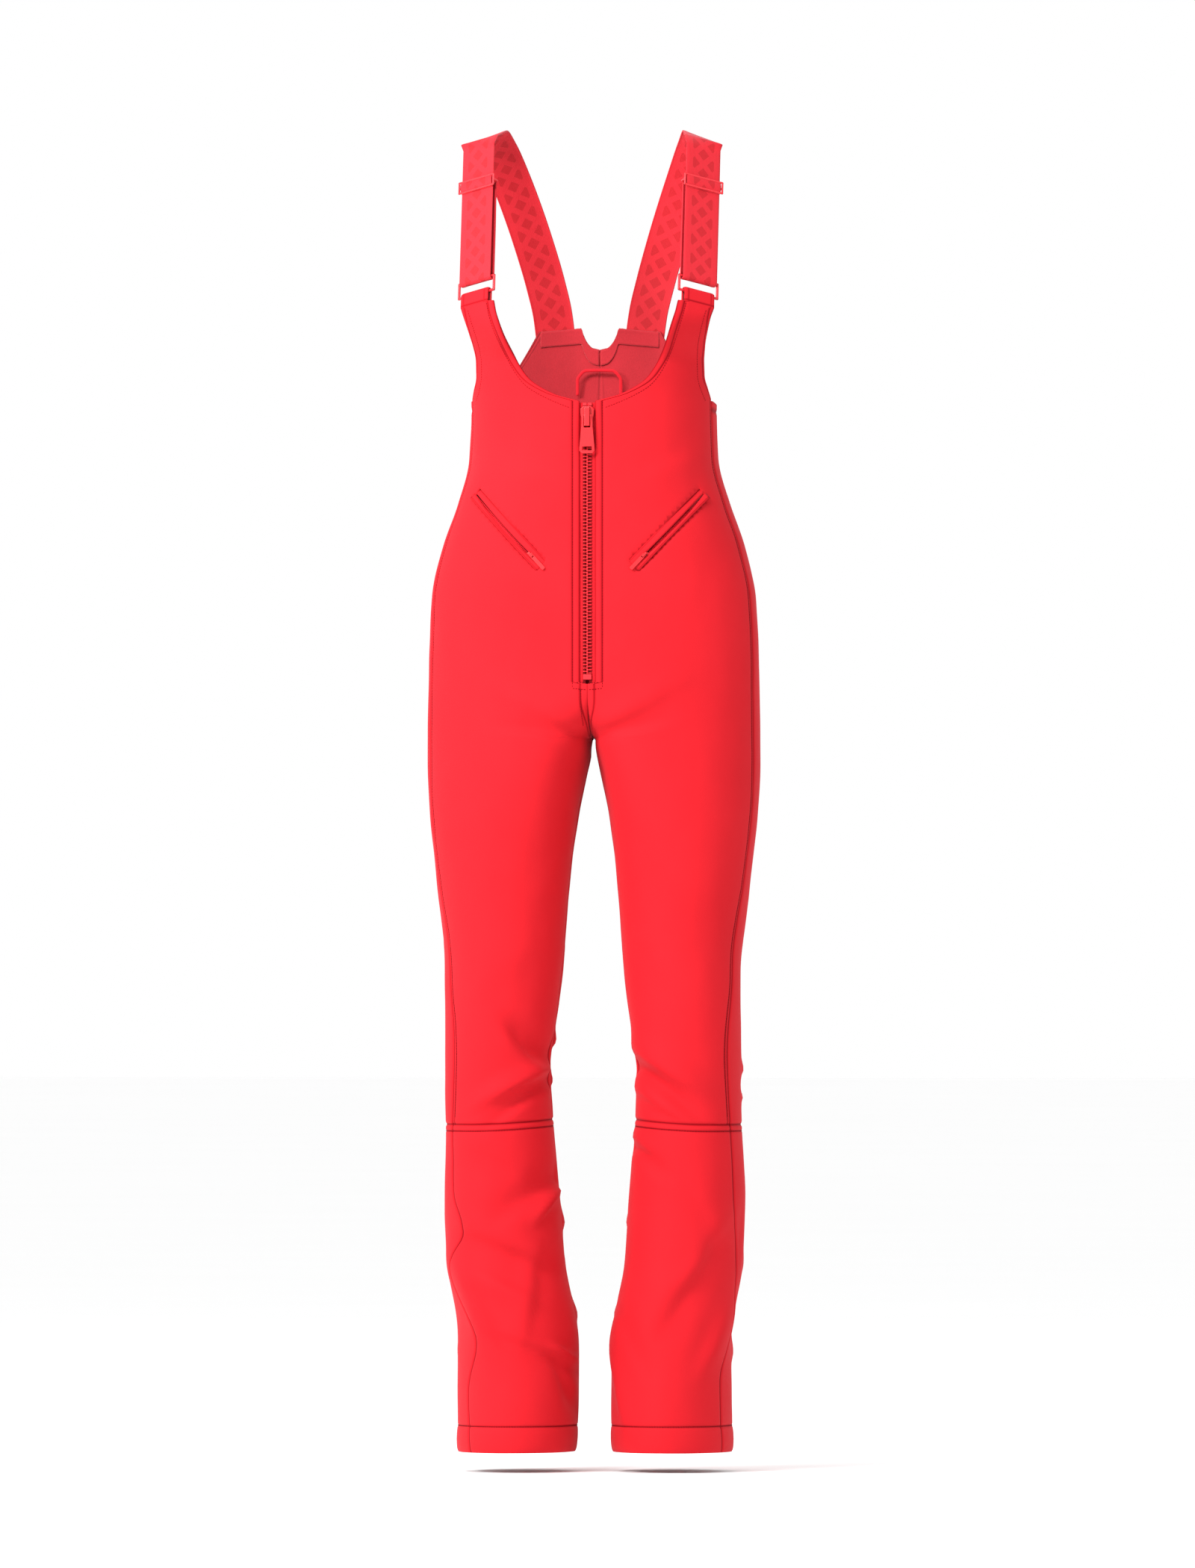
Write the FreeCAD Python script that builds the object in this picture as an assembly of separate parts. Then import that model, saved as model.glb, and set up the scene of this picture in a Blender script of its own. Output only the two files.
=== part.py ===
"""Softshell ski bib pants with braces, in the shape they take when worn.

Millimetres. +Z is up, -Y is the front and +X is the wearer's left. The outline is worked out with Z measured up from
the hems; every solid is then moved so that the origin lies midway between the tops of the two braces.
"""

import FreeCAD
import Part
from FreeCAD import Vector

import math
import os

# ---- driving dimensions ---------------------------------------------------------------------------------------
CLOTH = 1.8                 # thickness of the softshell
SEAM_GAP = 0.8              # clear width left at each seam between two panels
CROTCH_Z = 786.0            # inside leg length
FORK_RISE = 56.0            # height over which the crotch seam turns up to the centre front and back
HIP_BLEND_Z = 650.0         # below this the outer side of the thigh is plain leg
HEM_HEIGHT = 30.0
KNEE_SEAM_Z = 361.0
ZIP_FOOT_Z = 848.0          # lower end of the front opening
NECK_Z = 1157.0             # lowest point of the front neckline
SIDE_TOP_Z = 1158.0         # top of the side strip, under the arm
BACK_SIDE_TOP_Z = 1150.0
SHOULDER_Z = 1448.0         # top of the braces
FORK_TOP_Z = 870.0          # above this the two halves of the front, and of the back, meet on the centre line
ARM_TURN_Z = 1200.0         # the bib's arms start to turn into the plane of the braces here
ARM_TURN_RISE = 56.0
SIDE_SHARE = 0.22           # share of the half outline, from the inside leg, over which the leg turns into the hip

# Torso sections: height, half width, front depth, back depth, squareness of the section.
TORSO = [
    (700, 184, 106, 112, 2.2), (870, 182, 106, 122, 2.3), (940, 179, 106, 116, 2.3), (1000, 166, 106, 98, 2.3),
    (1045, 150, 106, 87, 2.3), (1095, 137, 106, 82, 2.3), (1157, 135, 107, 88, 2.4), (1225, 142, 121, 98, 2.7),
    (1320, 149, 126, 106, 2.8),
]
# Leg sections: height, inner edge, outer edge, front, back.
LEG = [
    (-10, 21, 152, -90, 114), (60, 18, 151, -82, 110), (120, 18, 151, -73, 104), (210, 33, 163, -62, 93),
    (300, 40, 166, -62, 82), (360, 45, 164, -67, 68), (415, 47, 163, -73, 61), (530, 34, 163, -82, 66),
    (620, 27, 172, -90, 76), (700, 17, 180, -96, 90), (CROTCH_Z, 2, 184, -102, 110), (900, 0, 184, -104, 118),
]
# Place of the two side seams on the half outline, 0 at the inside front and 1 at the inside back.
FRONT_SEAM = [(-10, 0.400), (80, 0.400), (140, 0.405), (210, 0.430), (285, 0.404), (KNEE_SEAM_Z, 0.405), (430, 0.395),
              (530, 0.420), (660, 0.447), (1200, 0.455)]
BACK_SEAM = [(-10, 0.535), (300, 0.545), (700, 0.550), (1200, 0.550)]
# Front neckline and armhole as seen from the front, and the top edge of the back, as (x, z).
NECKLINE = [(9, 1157), (32, 1163), (62, 1179), (75, 1195), (91, 1228), (99, 1252), (102.5, 1268)]
ARMHOLE = [(134, 1160), (130, 1171), (127, 1185), (127, 1200), (129, 1216), (135, 1240), (139.5, 1256)]
BACK_INNER = [(1, 1216), (8, 1218), (14, 1224), (18, 1232), (21, 1240)]
BACK_OUTER = [(137, 1150), (118, 1164), (98, 1184), (82, 1210), (68, 1236)]

# Front zip.
TAPE_OUT_Y, TAPE_IN_Y = -103.5, -102.9
TAPE_EDGE = 2.0             # inner edge of each tape, from the centre line
TAPE_HALF = 15.0
TAPE_CLEAR = 0.05           # clearance round the tape inside what is clamped on it
OPENING_HALF = 8.5          # half width of the slot in the front
TOOTH_PITCH, TOOTH_TALL = 3.75, 1.6
TOOTH_OUT_Y, TOOTH_IN_Y = -105.6, -100.8
TOOTH_HEAD, TOOTH_FOOT = 1.3, 4.9      # how far a tooth's head and its foot reach from the centre line
FIRST_TOOTH_Z = ZIP_FOOT_Z + 9.0
STOP_HALF, STOP_TALL = 4.6, 6.0
SLIDER_TOP_Z = 1151.0
SLIDER_LONG = 22.0
SLIDER_HALF = 7.4
SLIDER_WAIST = 6.2          # half width of the slider's lower part
PLATE_THICK = 2.0
PULL_AXIS_Y, PULL_AXIS_Z = -110.3, 1141.0
PULL_LONG = 42.0
PULL_THICK = 2.0
GUARD_EDGE, GUARD_FAR = -24.0, 19.0    # the sewn and the free edge of the strip behind the zip
GUARD_THICK = 1.0

# Hand pockets.
POCKET_IN, POCKET_OUT = (52.0, 977.0), (125.0, 1055.0)
POCKET_LIP_GAP = 5.0
POCKET_HALF = 8.6           # half width of the welts
WELT_THICK = 1.6
POCKET_TAPE = (3.2, 8.2, 3.9, 4.4)     # inner edge, outer edge, upper face and lower face
POCKET_COIL = (1.5, 3.0, 3.5, 4.8)
POCKET_END = 0.02           # angle by which the welts run past the slit
BAG_DEPTH = 11.5

# Facings.
FACING_GAP = 0.6            # between the shell and what backs it
FACING_THICK = 1.0
NECK_FACING_WIDE, ARM_FACING_WIDE = 11.0, 10.0
FACING_INSET = 0.8          # how far a facing stays back from the edge it backs

# Braces.
WEB_WIDE, WEB_THICK = 44.0, 1.6
RING_AT = Vector(122, -100, 1290)      # centre of the ring's upper bar
BRACE_LEAN, BRACE_TURN = math.radians(22), math.radians(33)
RING_SPAN = 17.0                       # between the ring's two bars
BAR_R = 1.5
BAR_SLACK = 1.2                        # how loosely the cloth and the webbing lie round the ring's bars
ADJUSTER_ALONG = 113.0                 # from the ring's upper bar to the adjuster
STRAIGHT_LONG = 158.0                  # straight stretch of the brace above the ring
BIB_LOOP_WIDE, BIB_LOOP_LONG = 38.0, 15.5
BRACE_BACK = [(120.5, -14, 1447), (117, 18, 1449), (109, 47, 1434), (95, 74, 1398), (77, 92, 1345), (61, 101, 1290),
              (53, 101, 1256), (48.5, 98.8, 1222)]
SHOULDER_WAY = Vector(0.927, 0, -0.375)      # the webbing's width on the shoulder and at the back
BACK_WAY = Vector(0.965, -0.115, -0.20)


# ---- the worn outline -----------------------------------------------------------------------------------------
def smooth(t):
    t = max(0.0, min(1.0, t))
    return t * t * (3 - 2 * t)


def along(table, z):
    """Every column of a table at height z, by a smooth cubic through its rows."""
    rows = [(r[0], [float(v) for v in r[1:]]) for r in table]
    z = max(rows[0][0], min(rows[-1][0], z))
    k = max(i for i in range(len(rows) - 1) if rows[i][0] <= z or i == 0)
    z0, z1 = rows[k][0], rows[k + 1][0]
    t = (z - z0) / (z1 - z0)
    found = []
    for c in range(len(rows[0][1])):
        p0, p1 = rows[k][1][c], rows[k + 1][1][c]
        step = (p1 - p0) / (z1 - z0)
        before = (p0 - rows[k - 1][1][c]) / (z0 - rows[k - 1][0]) if k else step
        after = (rows[k + 2][1][c] - p1) / (rows[k + 2][0] - z1) if k + 2 < len(rows) else step
        # A slope that vanishes where the column turns, so that the curve never overshoots its rows.
        m0 = 0.0 if before * step <= 0 else 2 * before * step / (before + step)
        m1 = 0.0 if after * step <= 0 else 2 * after * step / (after + step)
        h = z1 - z0
        found.append(p0 * (1 + 2 * t) * (1 - t) ** 2 + m0 * h * t * (1 - t) ** 2
                     + p1 * t * t * (3 - 2 * t) + m1 * h * t * t * (t - 1))
    return found


def brace_frame():
    """Unit vectors of the straight part of the left brace: across its width, up its length, and outwards."""
    up = Vector(0, math.sin(BRACE_LEAN), math.cos(BRACE_LEAN))
    turn = math.tan(BRACE_TURN)
    across = Vector(1, turn, -turn * up.y / up.z).normalize()
    return across, up, across.cross(up).normalize()


ACROSS, UP, OUT = brace_frame()
LOOP_AT = RING_AT - UP * RING_SPAN     # centre of the ring's lower bar
WRAP_R = BAR_R + BAR_SLACK             # inner face of what wraps a bar


def torso_point(u, z):
    half, front, back, n = along(TORSO, z)
    x = half * math.sin(math.pi * u) ** 2
    depth = max(0.0, 1 - (x / half) ** n) ** (1 / n)
    y = -front * depth if u < 0.5 else back * depth
    if z > ARM_TURN_Z and u < 0.5:
        # The arms of the bib turn into the plane of the brace.
        on = LOOP_AT + OUT * (WRAP_R + CLOTH)
        flat = on.y - (OUT.x * (x - on.x) + OUT.z * (z - on.z)) / OUT.y
        y += (flat - y) * smooth((z - ARM_TURN_Z) / ARM_TURN_RISE)
    return x, y


def leg_point(u, z):
    inner, outer, front, back = along(LEG, z)
    turn = 2 * math.pi * u
    x = (inner + outer) / 2 - (outer - inner) / 2 * math.cos(turn)
    y = (front + back) / 2 - (back - front) / 2 * math.sin(turn)
    return x, y


def outline(u, z):
    """A point on the outside of the left half, from the inside front (u = 0) round to the inside back (u = 1)."""
    rise = max(0.0, min(1.0, (z - CROTCH_Z) / FORK_RISE))
    fork = math.sqrt(1 - (1 - rise) ** 2)
    hip = smooth((z - HIP_BLEND_Z) / (CROTCH_Z + FORK_RISE - HIP_BLEND_Z))
    outer = smooth(min(u, 1 - u) / SIDE_SHARE)
    w = fork + (hip - fork) * outer
    if w == 0:
        return Vector(*leg_point(u, z), z)
    (lx, ly), (tx, ty) = leg_point(u, z), torso_point(u, z)
    x, y = lx + (tx - lx) * w, ly + (ty - ly) * w
    # Half a seam gap at the centre line.
    x += SEAM_GAP / 2 * fork * (1 - x / 200)
    return Vector(x, y, z)


def skin(u, z, depth=0.0):
    """The outline moved inwards, square to the cloth, by depth."""
    p = outline(u, z)
    if depth == 0:
        return p
    du = outline(min(u + 0.004, 0.9999), z) - outline(max(u - 0.004, 0.0001), z)
    dz = outline(u, z + 3) - outline(u, z - 3)
    if abs(z - CROTCH_Z) < 12 and min(u, 1 - u) < 0.1:
        # The fork's edge turns too sharply to lean the cloth here.
        dz = Vector(0, 0, 1)
    normal = du.cross(dz)
    normal.normalize()
    return p - normal * depth


def u_at(x, z):
    """The place on the front half outline that lies at x."""
    half = along(TORSO, z)[0]
    return math.asin(math.sqrt(max(0.0, min(1.0, x / half)))) / math.pi


def u_back(x, z):
    return 1 - u_at(x, z)


def edge_rows(inner, outer, to_u, first_inner, first_outer, step=0.34):
    """Rows between two edges that are tables of (x, z), with the very first ends given as (u, z)."""
    tables = [[(i, *point) for i, point in enumerate(edge)] for edge in (inner, outer)]
    last = min(len(inner), len(outer)) - 1
    rows = []
    for k in range(int(last / step) + 1):
        ends = []
        for table, first in zip(tables, (first_inner, first_outer)):
            x, z = along(table, min(k * step, last))
            mix = min(1.0, k * step)
            ends.append((first[0] * (1 - mix) + to_u(x, z) * mix, first[1] * (1 - mix) + z * mix))
        rows.append(tuple(ends))
    return rows


# ---- solids from rows of points -------------------------------------------------------------------------------
def pole_surface(grid):
    """A smooth surface pulled towards a grid of points; it never swings wide of them."""
    counts = (len(grid), len(grid[0]))
    degrees = [min(3, n - 1) for n in counts]
    knots = [[float(k) for k in range(n - d + 1)] for n, d in zip(counts, degrees)]
    mults = [[d + 1, *[1] * (len(k) - 2), d + 1] for k, d in zip(knots, degrees)]
    surface = Part.BSplineSurface()
    surface.buildFromPolesMultsKnots(grid, mults[0], mults[1], knots[0], knots[1], False, False, *degrees)
    return surface


def sheet_solid(rows):
    """A closed sheet through rows of (outer points, inner points)."""
    outer = [row[0] for row in rows]
    inner = [row[1] for row in rows]
    grids = [outer, inner, (outer[0], inner[0]), (outer[-1], inner[-1])]
    for end in (0, -1):
        grids.append([[line[end] for line in outer], [line[end] for line in inner]])
    faces = [pole_surface(grid).toShape() for grid in grids]
    shell = Part.makeShell(faces)
    shell.sewShape(0.01)
    solid = Part.makeSolid(shell if shell.ShapeType == "Shell" else shell.Shells[0])
    if solid.Volume < 0:
        solid.reverse()
    return solid


def cloth(rows, depth=0.0, thick=CLOTH, points=31):
    """A sheet that follows the outline. Each row runs straight, in u and z, between two (u, z) ends."""
    made = []
    for (u0, z0), (u1, z1) in rows:
        steps = [(u0 + (u1 - u0) * i / (points - 1), z0 + (z1 - z0) * i / (points - 1)) for i in range(points)]
        made.append(([skin(u, z, depth) for u, z in steps], [skin(u, z, depth + thick) for u, z in steps]))
    return sheet_solid(made)


def seam(table, z):
    return along(table, z)[0]


def mirrored(shape):
    return shape.mirror(Vector(0, 0, 0), Vector(1, 0, 0))


def box(x0, x1, y0, y1, z0, z1):
    return Part.makeBox(x1 - x0, y1 - y0, z1 - z0, Vector(x0, y0, z0))


def placed(shape, at, x_axis, y_axis, z_axis):
    """A shape made in local axes, put at a point with its axes along the given vectors."""
    m = FreeCAD.Matrix(x_axis.x, y_axis.x, z_axis.x, at.x, x_axis.y, y_axis.y, z_axis.y, at.y,
                       x_axis.z, y_axis.z, z_axis.z, at.z, 0, 0, 0, 1)
    moved = shape.copy()
    moved.Placement = FreeCAD.Placement(m).multiply(moved.Placement)
    return moved


# ---- panels ---------------------------------------------------------------------------------------------------
GAP_U = 0.0016              # half a seam gap, as a share of the half outline
FORK_LEVELS = [CROTCH_Z + FORK_RISE * (1 - math.cos(math.radians(a))) for a in range(0, 91, 9)]


def even_levels(z0, z1, step):
    """Heights from z0 to z1, both included, about one step apart."""
    count = max(1, round((z1 - z0) / step))
    return [z0 + (z1 - z0) * i / count for i in range(count + 1)]


UPPER_LEVELS = [*even_levels(KNEE_SEAM_Z, CROTCH_Z, 14)[:-1], *FORK_LEVELS,
                *even_levels(FORK_LEVELS[-1], 1130, 14)[1:]]


def front_panel():
    rows = []
    for z in UPPER_LEVELS:
        lift = SEAM_GAP / 2 if z == KNEE_SEAM_Z else 0
        rows.append(((GAP_U if z < FORK_TOP_Z else 0.0, z + lift), (seam(FRONT_SEAM, z) - GAP_U, z + lift)))
    rows += edge_rows(NECKLINE, ARMHOLE, u_at, (0.0, NECK_Z), (seam(FRONT_SEAM, SIDE_TOP_Z) - GAP_U, SIDE_TOP_Z))
    return cloth(rows)


def opening_cut(panel):
    """The slot that the front zip fills."""
    return panel.cut(box(-1, OPENING_HALF, TAPE_IN_Y - 30, TAPE_IN_Y + 15, ZIP_FOOT_Z, NECK_Z + 40))


def side_panel():
    levels = [z for z in UPPER_LEVELS if KNEE_SEAM_Z < z]
    rows = [((seam(FRONT_SEAM, z) + GAP_U, z), (seam(BACK_SEAM, z) - GAP_U, z))
            for z in [KNEE_SEAM_Z + SEAM_GAP / 2, *levels]]
    rows.append(((seam(FRONT_SEAM, SIDE_TOP_Z) + GAP_U, SIDE_TOP_Z),
                 (seam(BACK_SEAM, BACK_SIDE_TOP_Z) - GAP_U, BACK_SIDE_TOP_Z)))
    return cloth(rows, points=7)


def back_panel():
    rows = []
    for z in UPPER_LEVELS:
        lift = SEAM_GAP / 2 if z == KNEE_SEAM_Z else 0
        rows.append(((seam(BACK_SEAM, z) + GAP_U, z + lift), (1 - GAP_U if z < FORK_TOP_Z else 1.0, z + lift)))
    rows += edge_rows(BACK_OUTER, BACK_INNER, u_back, (seam(BACK_SEAM, BACK_SIDE_TOP_Z) + GAP_U, BACK_SIDE_TOP_Z),
                      (1.0, BACK_INNER[0][1]))
    return cloth(rows)


def lower_panel(start, end):
    """A panel from the hem fold up to the knee seam, between two seams given as functions of height."""
    levels = even_levels(0, KNEE_SEAM_Z - SEAM_GAP / 2, 14)
    return cloth([((start(z), z), (end(z), z)) for z in levels])


def hem_facing():
    """The hem allowance turned up inside the leg."""
    rows = [((0.003, z), (0.997, z)) for z in even_levels(1.0, HEM_HEIGHT, 6)]
    return cloth(rows, depth=CLOTH + FACING_GAP, points=61)


def edge_facing(edge, inset, width, side):
    """A strip that backs an edge of the front, given as a table of (x, z); side is which way the strip lies."""
    table = [(i, *point) for i, point in enumerate(edge)]
    last = len(edge) - 2
    count = 3 * last
    rows = []
    for k in range(count + 1):
        t = last * k / count
        (x, z), (xn, zn) = along(table, t), along(table, t + 0.1)
        size = math.hypot(xn - x, zn - z)
        nx, nz = side * (zn - z) / size, -side * (xn - x) / size
        (x0, z0), (x1, z1) = (x + nx * inset, z + nz * inset), (x + nx * width, z + nz * width)
        ends = [(u_at(x0, z0), z0), (u_at(x1, z1), z1)]
        rows.append(tuple(ends if side > 0 else ends[::-1]))
    return cloth(rows, depth=CLOTH + FACING_GAP, thick=FACING_THICK, points=5)


def neck_facing():
    return edge_facing([(20, NECK_Z + 1.5), *NECKLINE[1:]], FACING_INSET, NECK_FACING_WIDE, 1)


def armhole_facing():
    return edge_facing(ARMHOLE, FACING_INSET, ARM_FACING_WIDE, -1)


def back_facing():
    """The strip that backs the top edge of the back, both sides in one piece."""
    rows = []
    for z_in, z_out in ((1213, 1233), (1204, 1226), (1195, 1218)):
        rows.append(((u_back(58, z_out), z_out), (u_back(1.5, z_in), z_in)))
    half = cloth(rows, depth=CLOTH + FACING_GAP, thick=FACING_THICK, points=9)
    return Part.makeCompound([half, mirrored(half)])


# ---- front zip ------------------------------------------------------------------------------------------------
def zip_tape():
    return box(TAPE_EDGE, TAPE_HALF, TAPE_OUT_Y, TAPE_IN_Y, ZIP_FOOT_Z - 4, NECK_Z - 2)


def tape_slot(low, high):
    """The room that anything clamped on the left tape leaves for it."""
    return box(TAPE_EDGE - 0.1, TOOTH_FOOT + 2, TAPE_OUT_Y - TAPE_CLEAR, TAPE_IN_Y + TAPE_CLEAR, low - 2, high + 2)


def tooth(z, offset):
    """One moulded tooth of the left row: a rounded head past the centre line, a neck and a foot on the tape."""
    low, high = z + offset, z + offset + TOOTH_TALL
    head = box(-TOOTH_HEAD, TOOTH_HEAD, TOOTH_OUT_Y, TOOTH_IN_Y, low, high)
    foot = box(TOOTH_HEAD, TOOTH_FOOT, TOOTH_OUT_Y, TOOTH_IN_Y, low + 0.25, high - 0.25)
    return head.fuse(foot).cut(tape_slot(low, high)).removeSplitter()


def teeth_row(offset):
    count = int((NECK_Z - 8 - FIRST_TOOTH_Z) / TOOTH_PITCH)
    one = tooth(FIRST_TOOTH_Z, offset)
    row = []
    for i in range(count):
        copy = one.copy()
        copy.translate(Vector(0, 0, i * TOOTH_PITCH))
        row.append(copy)
    return Part.makeCompound(row)


def bottom_stop():
    high = FIRST_TOOTH_Z - 0.6
    low = high - STOP_TALL
    stop = box(-STOP_HALF, STOP_HALF, TOOTH_OUT_Y - 0.2, TOOTH_IN_Y + 0.2, low, high)
    stop = stop.makeFillet(0.8, stop.Edges)
    slot = tape_slot(low, high)
    return stop.cut(slot).cut(mirrored(slot))


def top_stops():
    low, high = SLIDER_TOP_Z + 0.6, SLIDER_TOP_Z + 3.6
    stop = box(1.0, TOOTH_FOOT, TOOTH_OUT_Y, TOOTH_IN_Y, low, high)
    solids = stop.cut(tape_slot(low, high)).Solids
    return Part.makeCompound([*solids, *[mirrored(s) for s in solids]])


def zip_guard():
    """The windproof strip behind the zip, sewn down along the wearer's right edge."""
    sewn_y = TAPE_IN_Y + 1.0
    behind_y = sewn_y + 4.9
    front = [(GUARD_EDGE, sewn_y), (-17.4, sewn_y), (-12.0, behind_y), (GUARD_FAR, behind_y)]
    back = [(x - 0.4 if GUARD_EDGE < x < GUARD_FAR else x, y + GUARD_THICK) for x, y in reversed(front)]
    low, high = ZIP_FOOT_Z - 6, NECK_Z - 3
    points = [Vector(x, y, low) for x, y in (*front, *back)]
    face = Part.Face(Part.makePolygon([*points, points[0]]))
    return face.extrude(Vector(0, 0, high - low))


def slider_plate(y0, y1):
    """A slider plate, wide at the mouth and waisted below, as seen from the front."""
    top, low = SLIDER_TOP_Z, SLIDER_TOP_Z - SLIDER_LONG
    pts = [(-SLIDER_HALF, top - 3), (-4.5, top), (4.5, top), (SLIDER_HALF, top - 3), (SLIDER_HALF, top - 8),
           (SLIDER_WAIST, low + 8), (SLIDER_WAIST, low), (-SLIDER_WAIST, low), (-SLIDER_WAIST, low + 8),
           (-SLIDER_HALF, top - 8)]
    pts = [Vector(x, y0, z) for x, z in pts]
    plate = Part.Face(Part.makePolygon([*pts, pts[0]])).extrude(Vector(0, y1 - y0, 0))
    upright = [e for e in plate.Edges if abs(e.tangentAt(e.FirstParameter).y) > 0.9]
    return plate.makeFillet(1.2, upright)


PLATE_OUT_Y = TOOTH_OUT_Y - 0.5
PLATE_IN_Y = TOOTH_IN_Y + 0.5


def zip_slider():
    face = PLATE_OUT_Y - PLATE_THICK
    front = slider_plate(face, PLATE_OUT_Y)
    rim = [e for e in front.Edges if abs(e.BoundBox.YMin - face) < 1e-3 and e.BoundBox.YLength < 1e-3]
    front = front.makeFillet(0.7, rim)
    back = slider_plate(PLATE_IN_Y, PLATE_IN_Y + 1.8)
    post = box(-1.6, 1.6, PLATE_OUT_Y - 0.2, PLATE_IN_Y + 0.2, SLIDER_TOP_Z - 4.2, SLIDER_TOP_Z - 0.6)
    made = front.fuse(back).fuse(post)
    low = SLIDER_TOP_Z - SLIDER_LONG
    for side in (-1, 1):
        a, b = sorted((side * (SLIDER_WAIST - 0.9), side * SLIDER_WAIST))
        made = made.fuse(box(a, b, PLATE_OUT_Y - 0.1, TAPE_OUT_Y - 0.6, low, low + 12))
        made = made.fuse(box(a, b, TAPE_IN_Y + 0.6, PLATE_IN_Y + 0.1, low, low + 12))
    return made.removeSplitter()


CROWN_HALF = 3.0
CROWN_IN_Y = PULL_AXIS_Y - 1.8
CROWN_OUT_Y = CROWN_IN_Y - 1.8


def zip_crown():
    """The arch on the slider that the pull hangs from."""
    face = PLATE_OUT_Y - PLATE_THICK
    top, low = SLIDER_TOP_Z - 0.8, SLIDER_TOP_Z - SLIDER_LONG + 0.4
    bridge = box(-CROWN_HALF, CROWN_HALF, CROWN_OUT_Y, face - 0.02, low, top)
    bridge = bridge.makeFillet(1.2, [e for e in bridge.Edges if abs(e.BoundBox.YMax - CROWN_OUT_Y) < 1e-3])
    return bridge.cut(box(-5, 5, CROWN_IN_Y, face + 1, low + 1.6, top - 2.2))


def zip_pull():
    """The pull: an eye round the crown, a tapered tab and a slot near its foot."""
    top, foot = PULL_AXIS_Z, PULL_AXIS_Z - PULL_LONG
    pts = [(-4.9, top + 1), (4.9, top + 1), (8.3, foot + 6), (8.3, foot + 3), (5.5, foot), (-5.5, foot),
           (-8.3, foot + 3), (-8.3, foot + 6)]
    pts = [Vector(x, PULL_AXIS_Y - PULL_THICK / 2, z) for x, z in pts]
    tab = Part.Face(Part.makePolygon([*pts, pts[0]])).extrude(Vector(0, PULL_THICK, 0))
    tab = tab.makeFillet(0.9, [e for e in tab.Edges if abs(e.tangentAt(e.FirstParameter).y) > 0.9])
    y0, y1 = PULL_AXIS_Y - PULL_THICK, PULL_AXIS_Y + PULL_THICK
    tab = tab.cut(box(-3.6, 3.6, y0, y1, top - 13.6, top - 1.0))
    tab = tab.cut(box(-5.4, 5.4, y0, y1, foot + 3.4, foot + 7.6))
    return tab.makeFillet(0.35, [e for e in tab.Edges if e.BoundBox.YLength < 1e-3])


# ---- hand pockets ---------------------------------------------------------------------------------------------
def pocket_frame():
    """Centre of the pocket's curve, its axis, the radius, and the angle from its middle to each end."""
    (x0, z0), (x1, z1) = POCKET_IN, POCKET_OUT
    low, high = skin(u_at(x0, z0), z0), skin(u_at(x1, z1), z1)
    xm, zm = (x0 + x1) / 2, (z0 + z1) / 2
    mid = skin(u_at(xm, zm), zm)
    chord = high - low
    half = chord.Length / 2
    e1 = chord.normalize()
    rise = mid - (low + high) * 0.5
    rise = rise - e1 * rise.dot(e1)
    sag = rise.Length
    normal = rise.normalize()
    radius = (half * half + sag * sag) / (2 * sag)
    centre = (low + high) * 0.5 + normal * (sag - radius)
    return centre, e1, normal, normal.cross(e1), radius, math.asin(half / radius)


P_CENTRE, P_ALONG, P_OUT, P_ACROSS, P_RADIUS, P_HALF = pocket_frame()


def pocket_strip(a0, a1, depth0, depth1, w0, w1):
    """A strip along the pocket's curve, between two angles, two depths and two places across it."""
    corners = [(w0, P_RADIUS - depth0), (w1, P_RADIUS - depth0), (w1, P_RADIUS - depth1), (w0, P_RADIUS - depth1)]
    start = P_OUT * math.cos(a0) + P_ALONG * math.sin(a0)
    points = [P_CENTRE + P_ACROSS * w + start * r for w, r in corners]
    face = Part.Face(Part.makePolygon([*points, points[0]]))
    return face.revolve(P_CENTRE, P_OUT.cross(P_ALONG), math.degrees(a1 - a0))


def pocket_point(angle, depth, w=0.0):
    return P_CENTRE + (P_OUT * math.cos(angle) + P_ALONG * math.sin(angle)) * (P_RADIUS - depth) + P_ACROSS * w


def pocket_cut(panel):
    edge = 0.4 / P_RADIUS
    end = P_HALF + POCKET_END + edge
    return panel.cut(pocket_strip(-end, end, -14, 14, -POCKET_HALF - 0.4, POCKET_HALF + 0.4))


def pocket_welts():
    """The two lips and the end tacks that frame the slit."""
    end = P_HALF + POCKET_END
    lip = POCKET_LIP_GAP / 2
    made = pocket_strip(-end, end, 0, WELT_THICK, lip, POCKET_HALF)
    made = made.fuse(pocket_strip(-end, end, 0, WELT_THICK, -POCKET_HALF, -lip))
    for a0, a1 in ((-end, -P_HALF), (P_HALF, end)):
        made = made.fuse(pocket_strip(a0, a1, 0, WELT_THICK, -lip, lip))
    return made.removeSplitter()


def pocket_tape():
    near, far, upper, lower = POCKET_TAPE
    halves = [pocket_strip(-P_HALF, P_HALF, upper, lower, *edges) for edges in ((near, far), (-far, -near))]
    return Part.makeCompound(halves)


def pocket_coil():
    near, far, upper, lower = POCKET_COIL
    end = P_HALF - 0.02
    return Part.makeCompound([pocket_strip(-end, end, upper, lower, *edges) for edges in ((near, far), (-far, -near))])


POCKET_REST = -P_HALF + 0.085          # angle of the slider at the lower end of the slit


def pocket_axes(angle):
    out = P_OUT * math.cos(angle) + P_ALONG * math.sin(angle)
    tangent = P_ALONG * math.cos(angle) - P_OUT * math.sin(angle)
    return tangent, out


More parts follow.
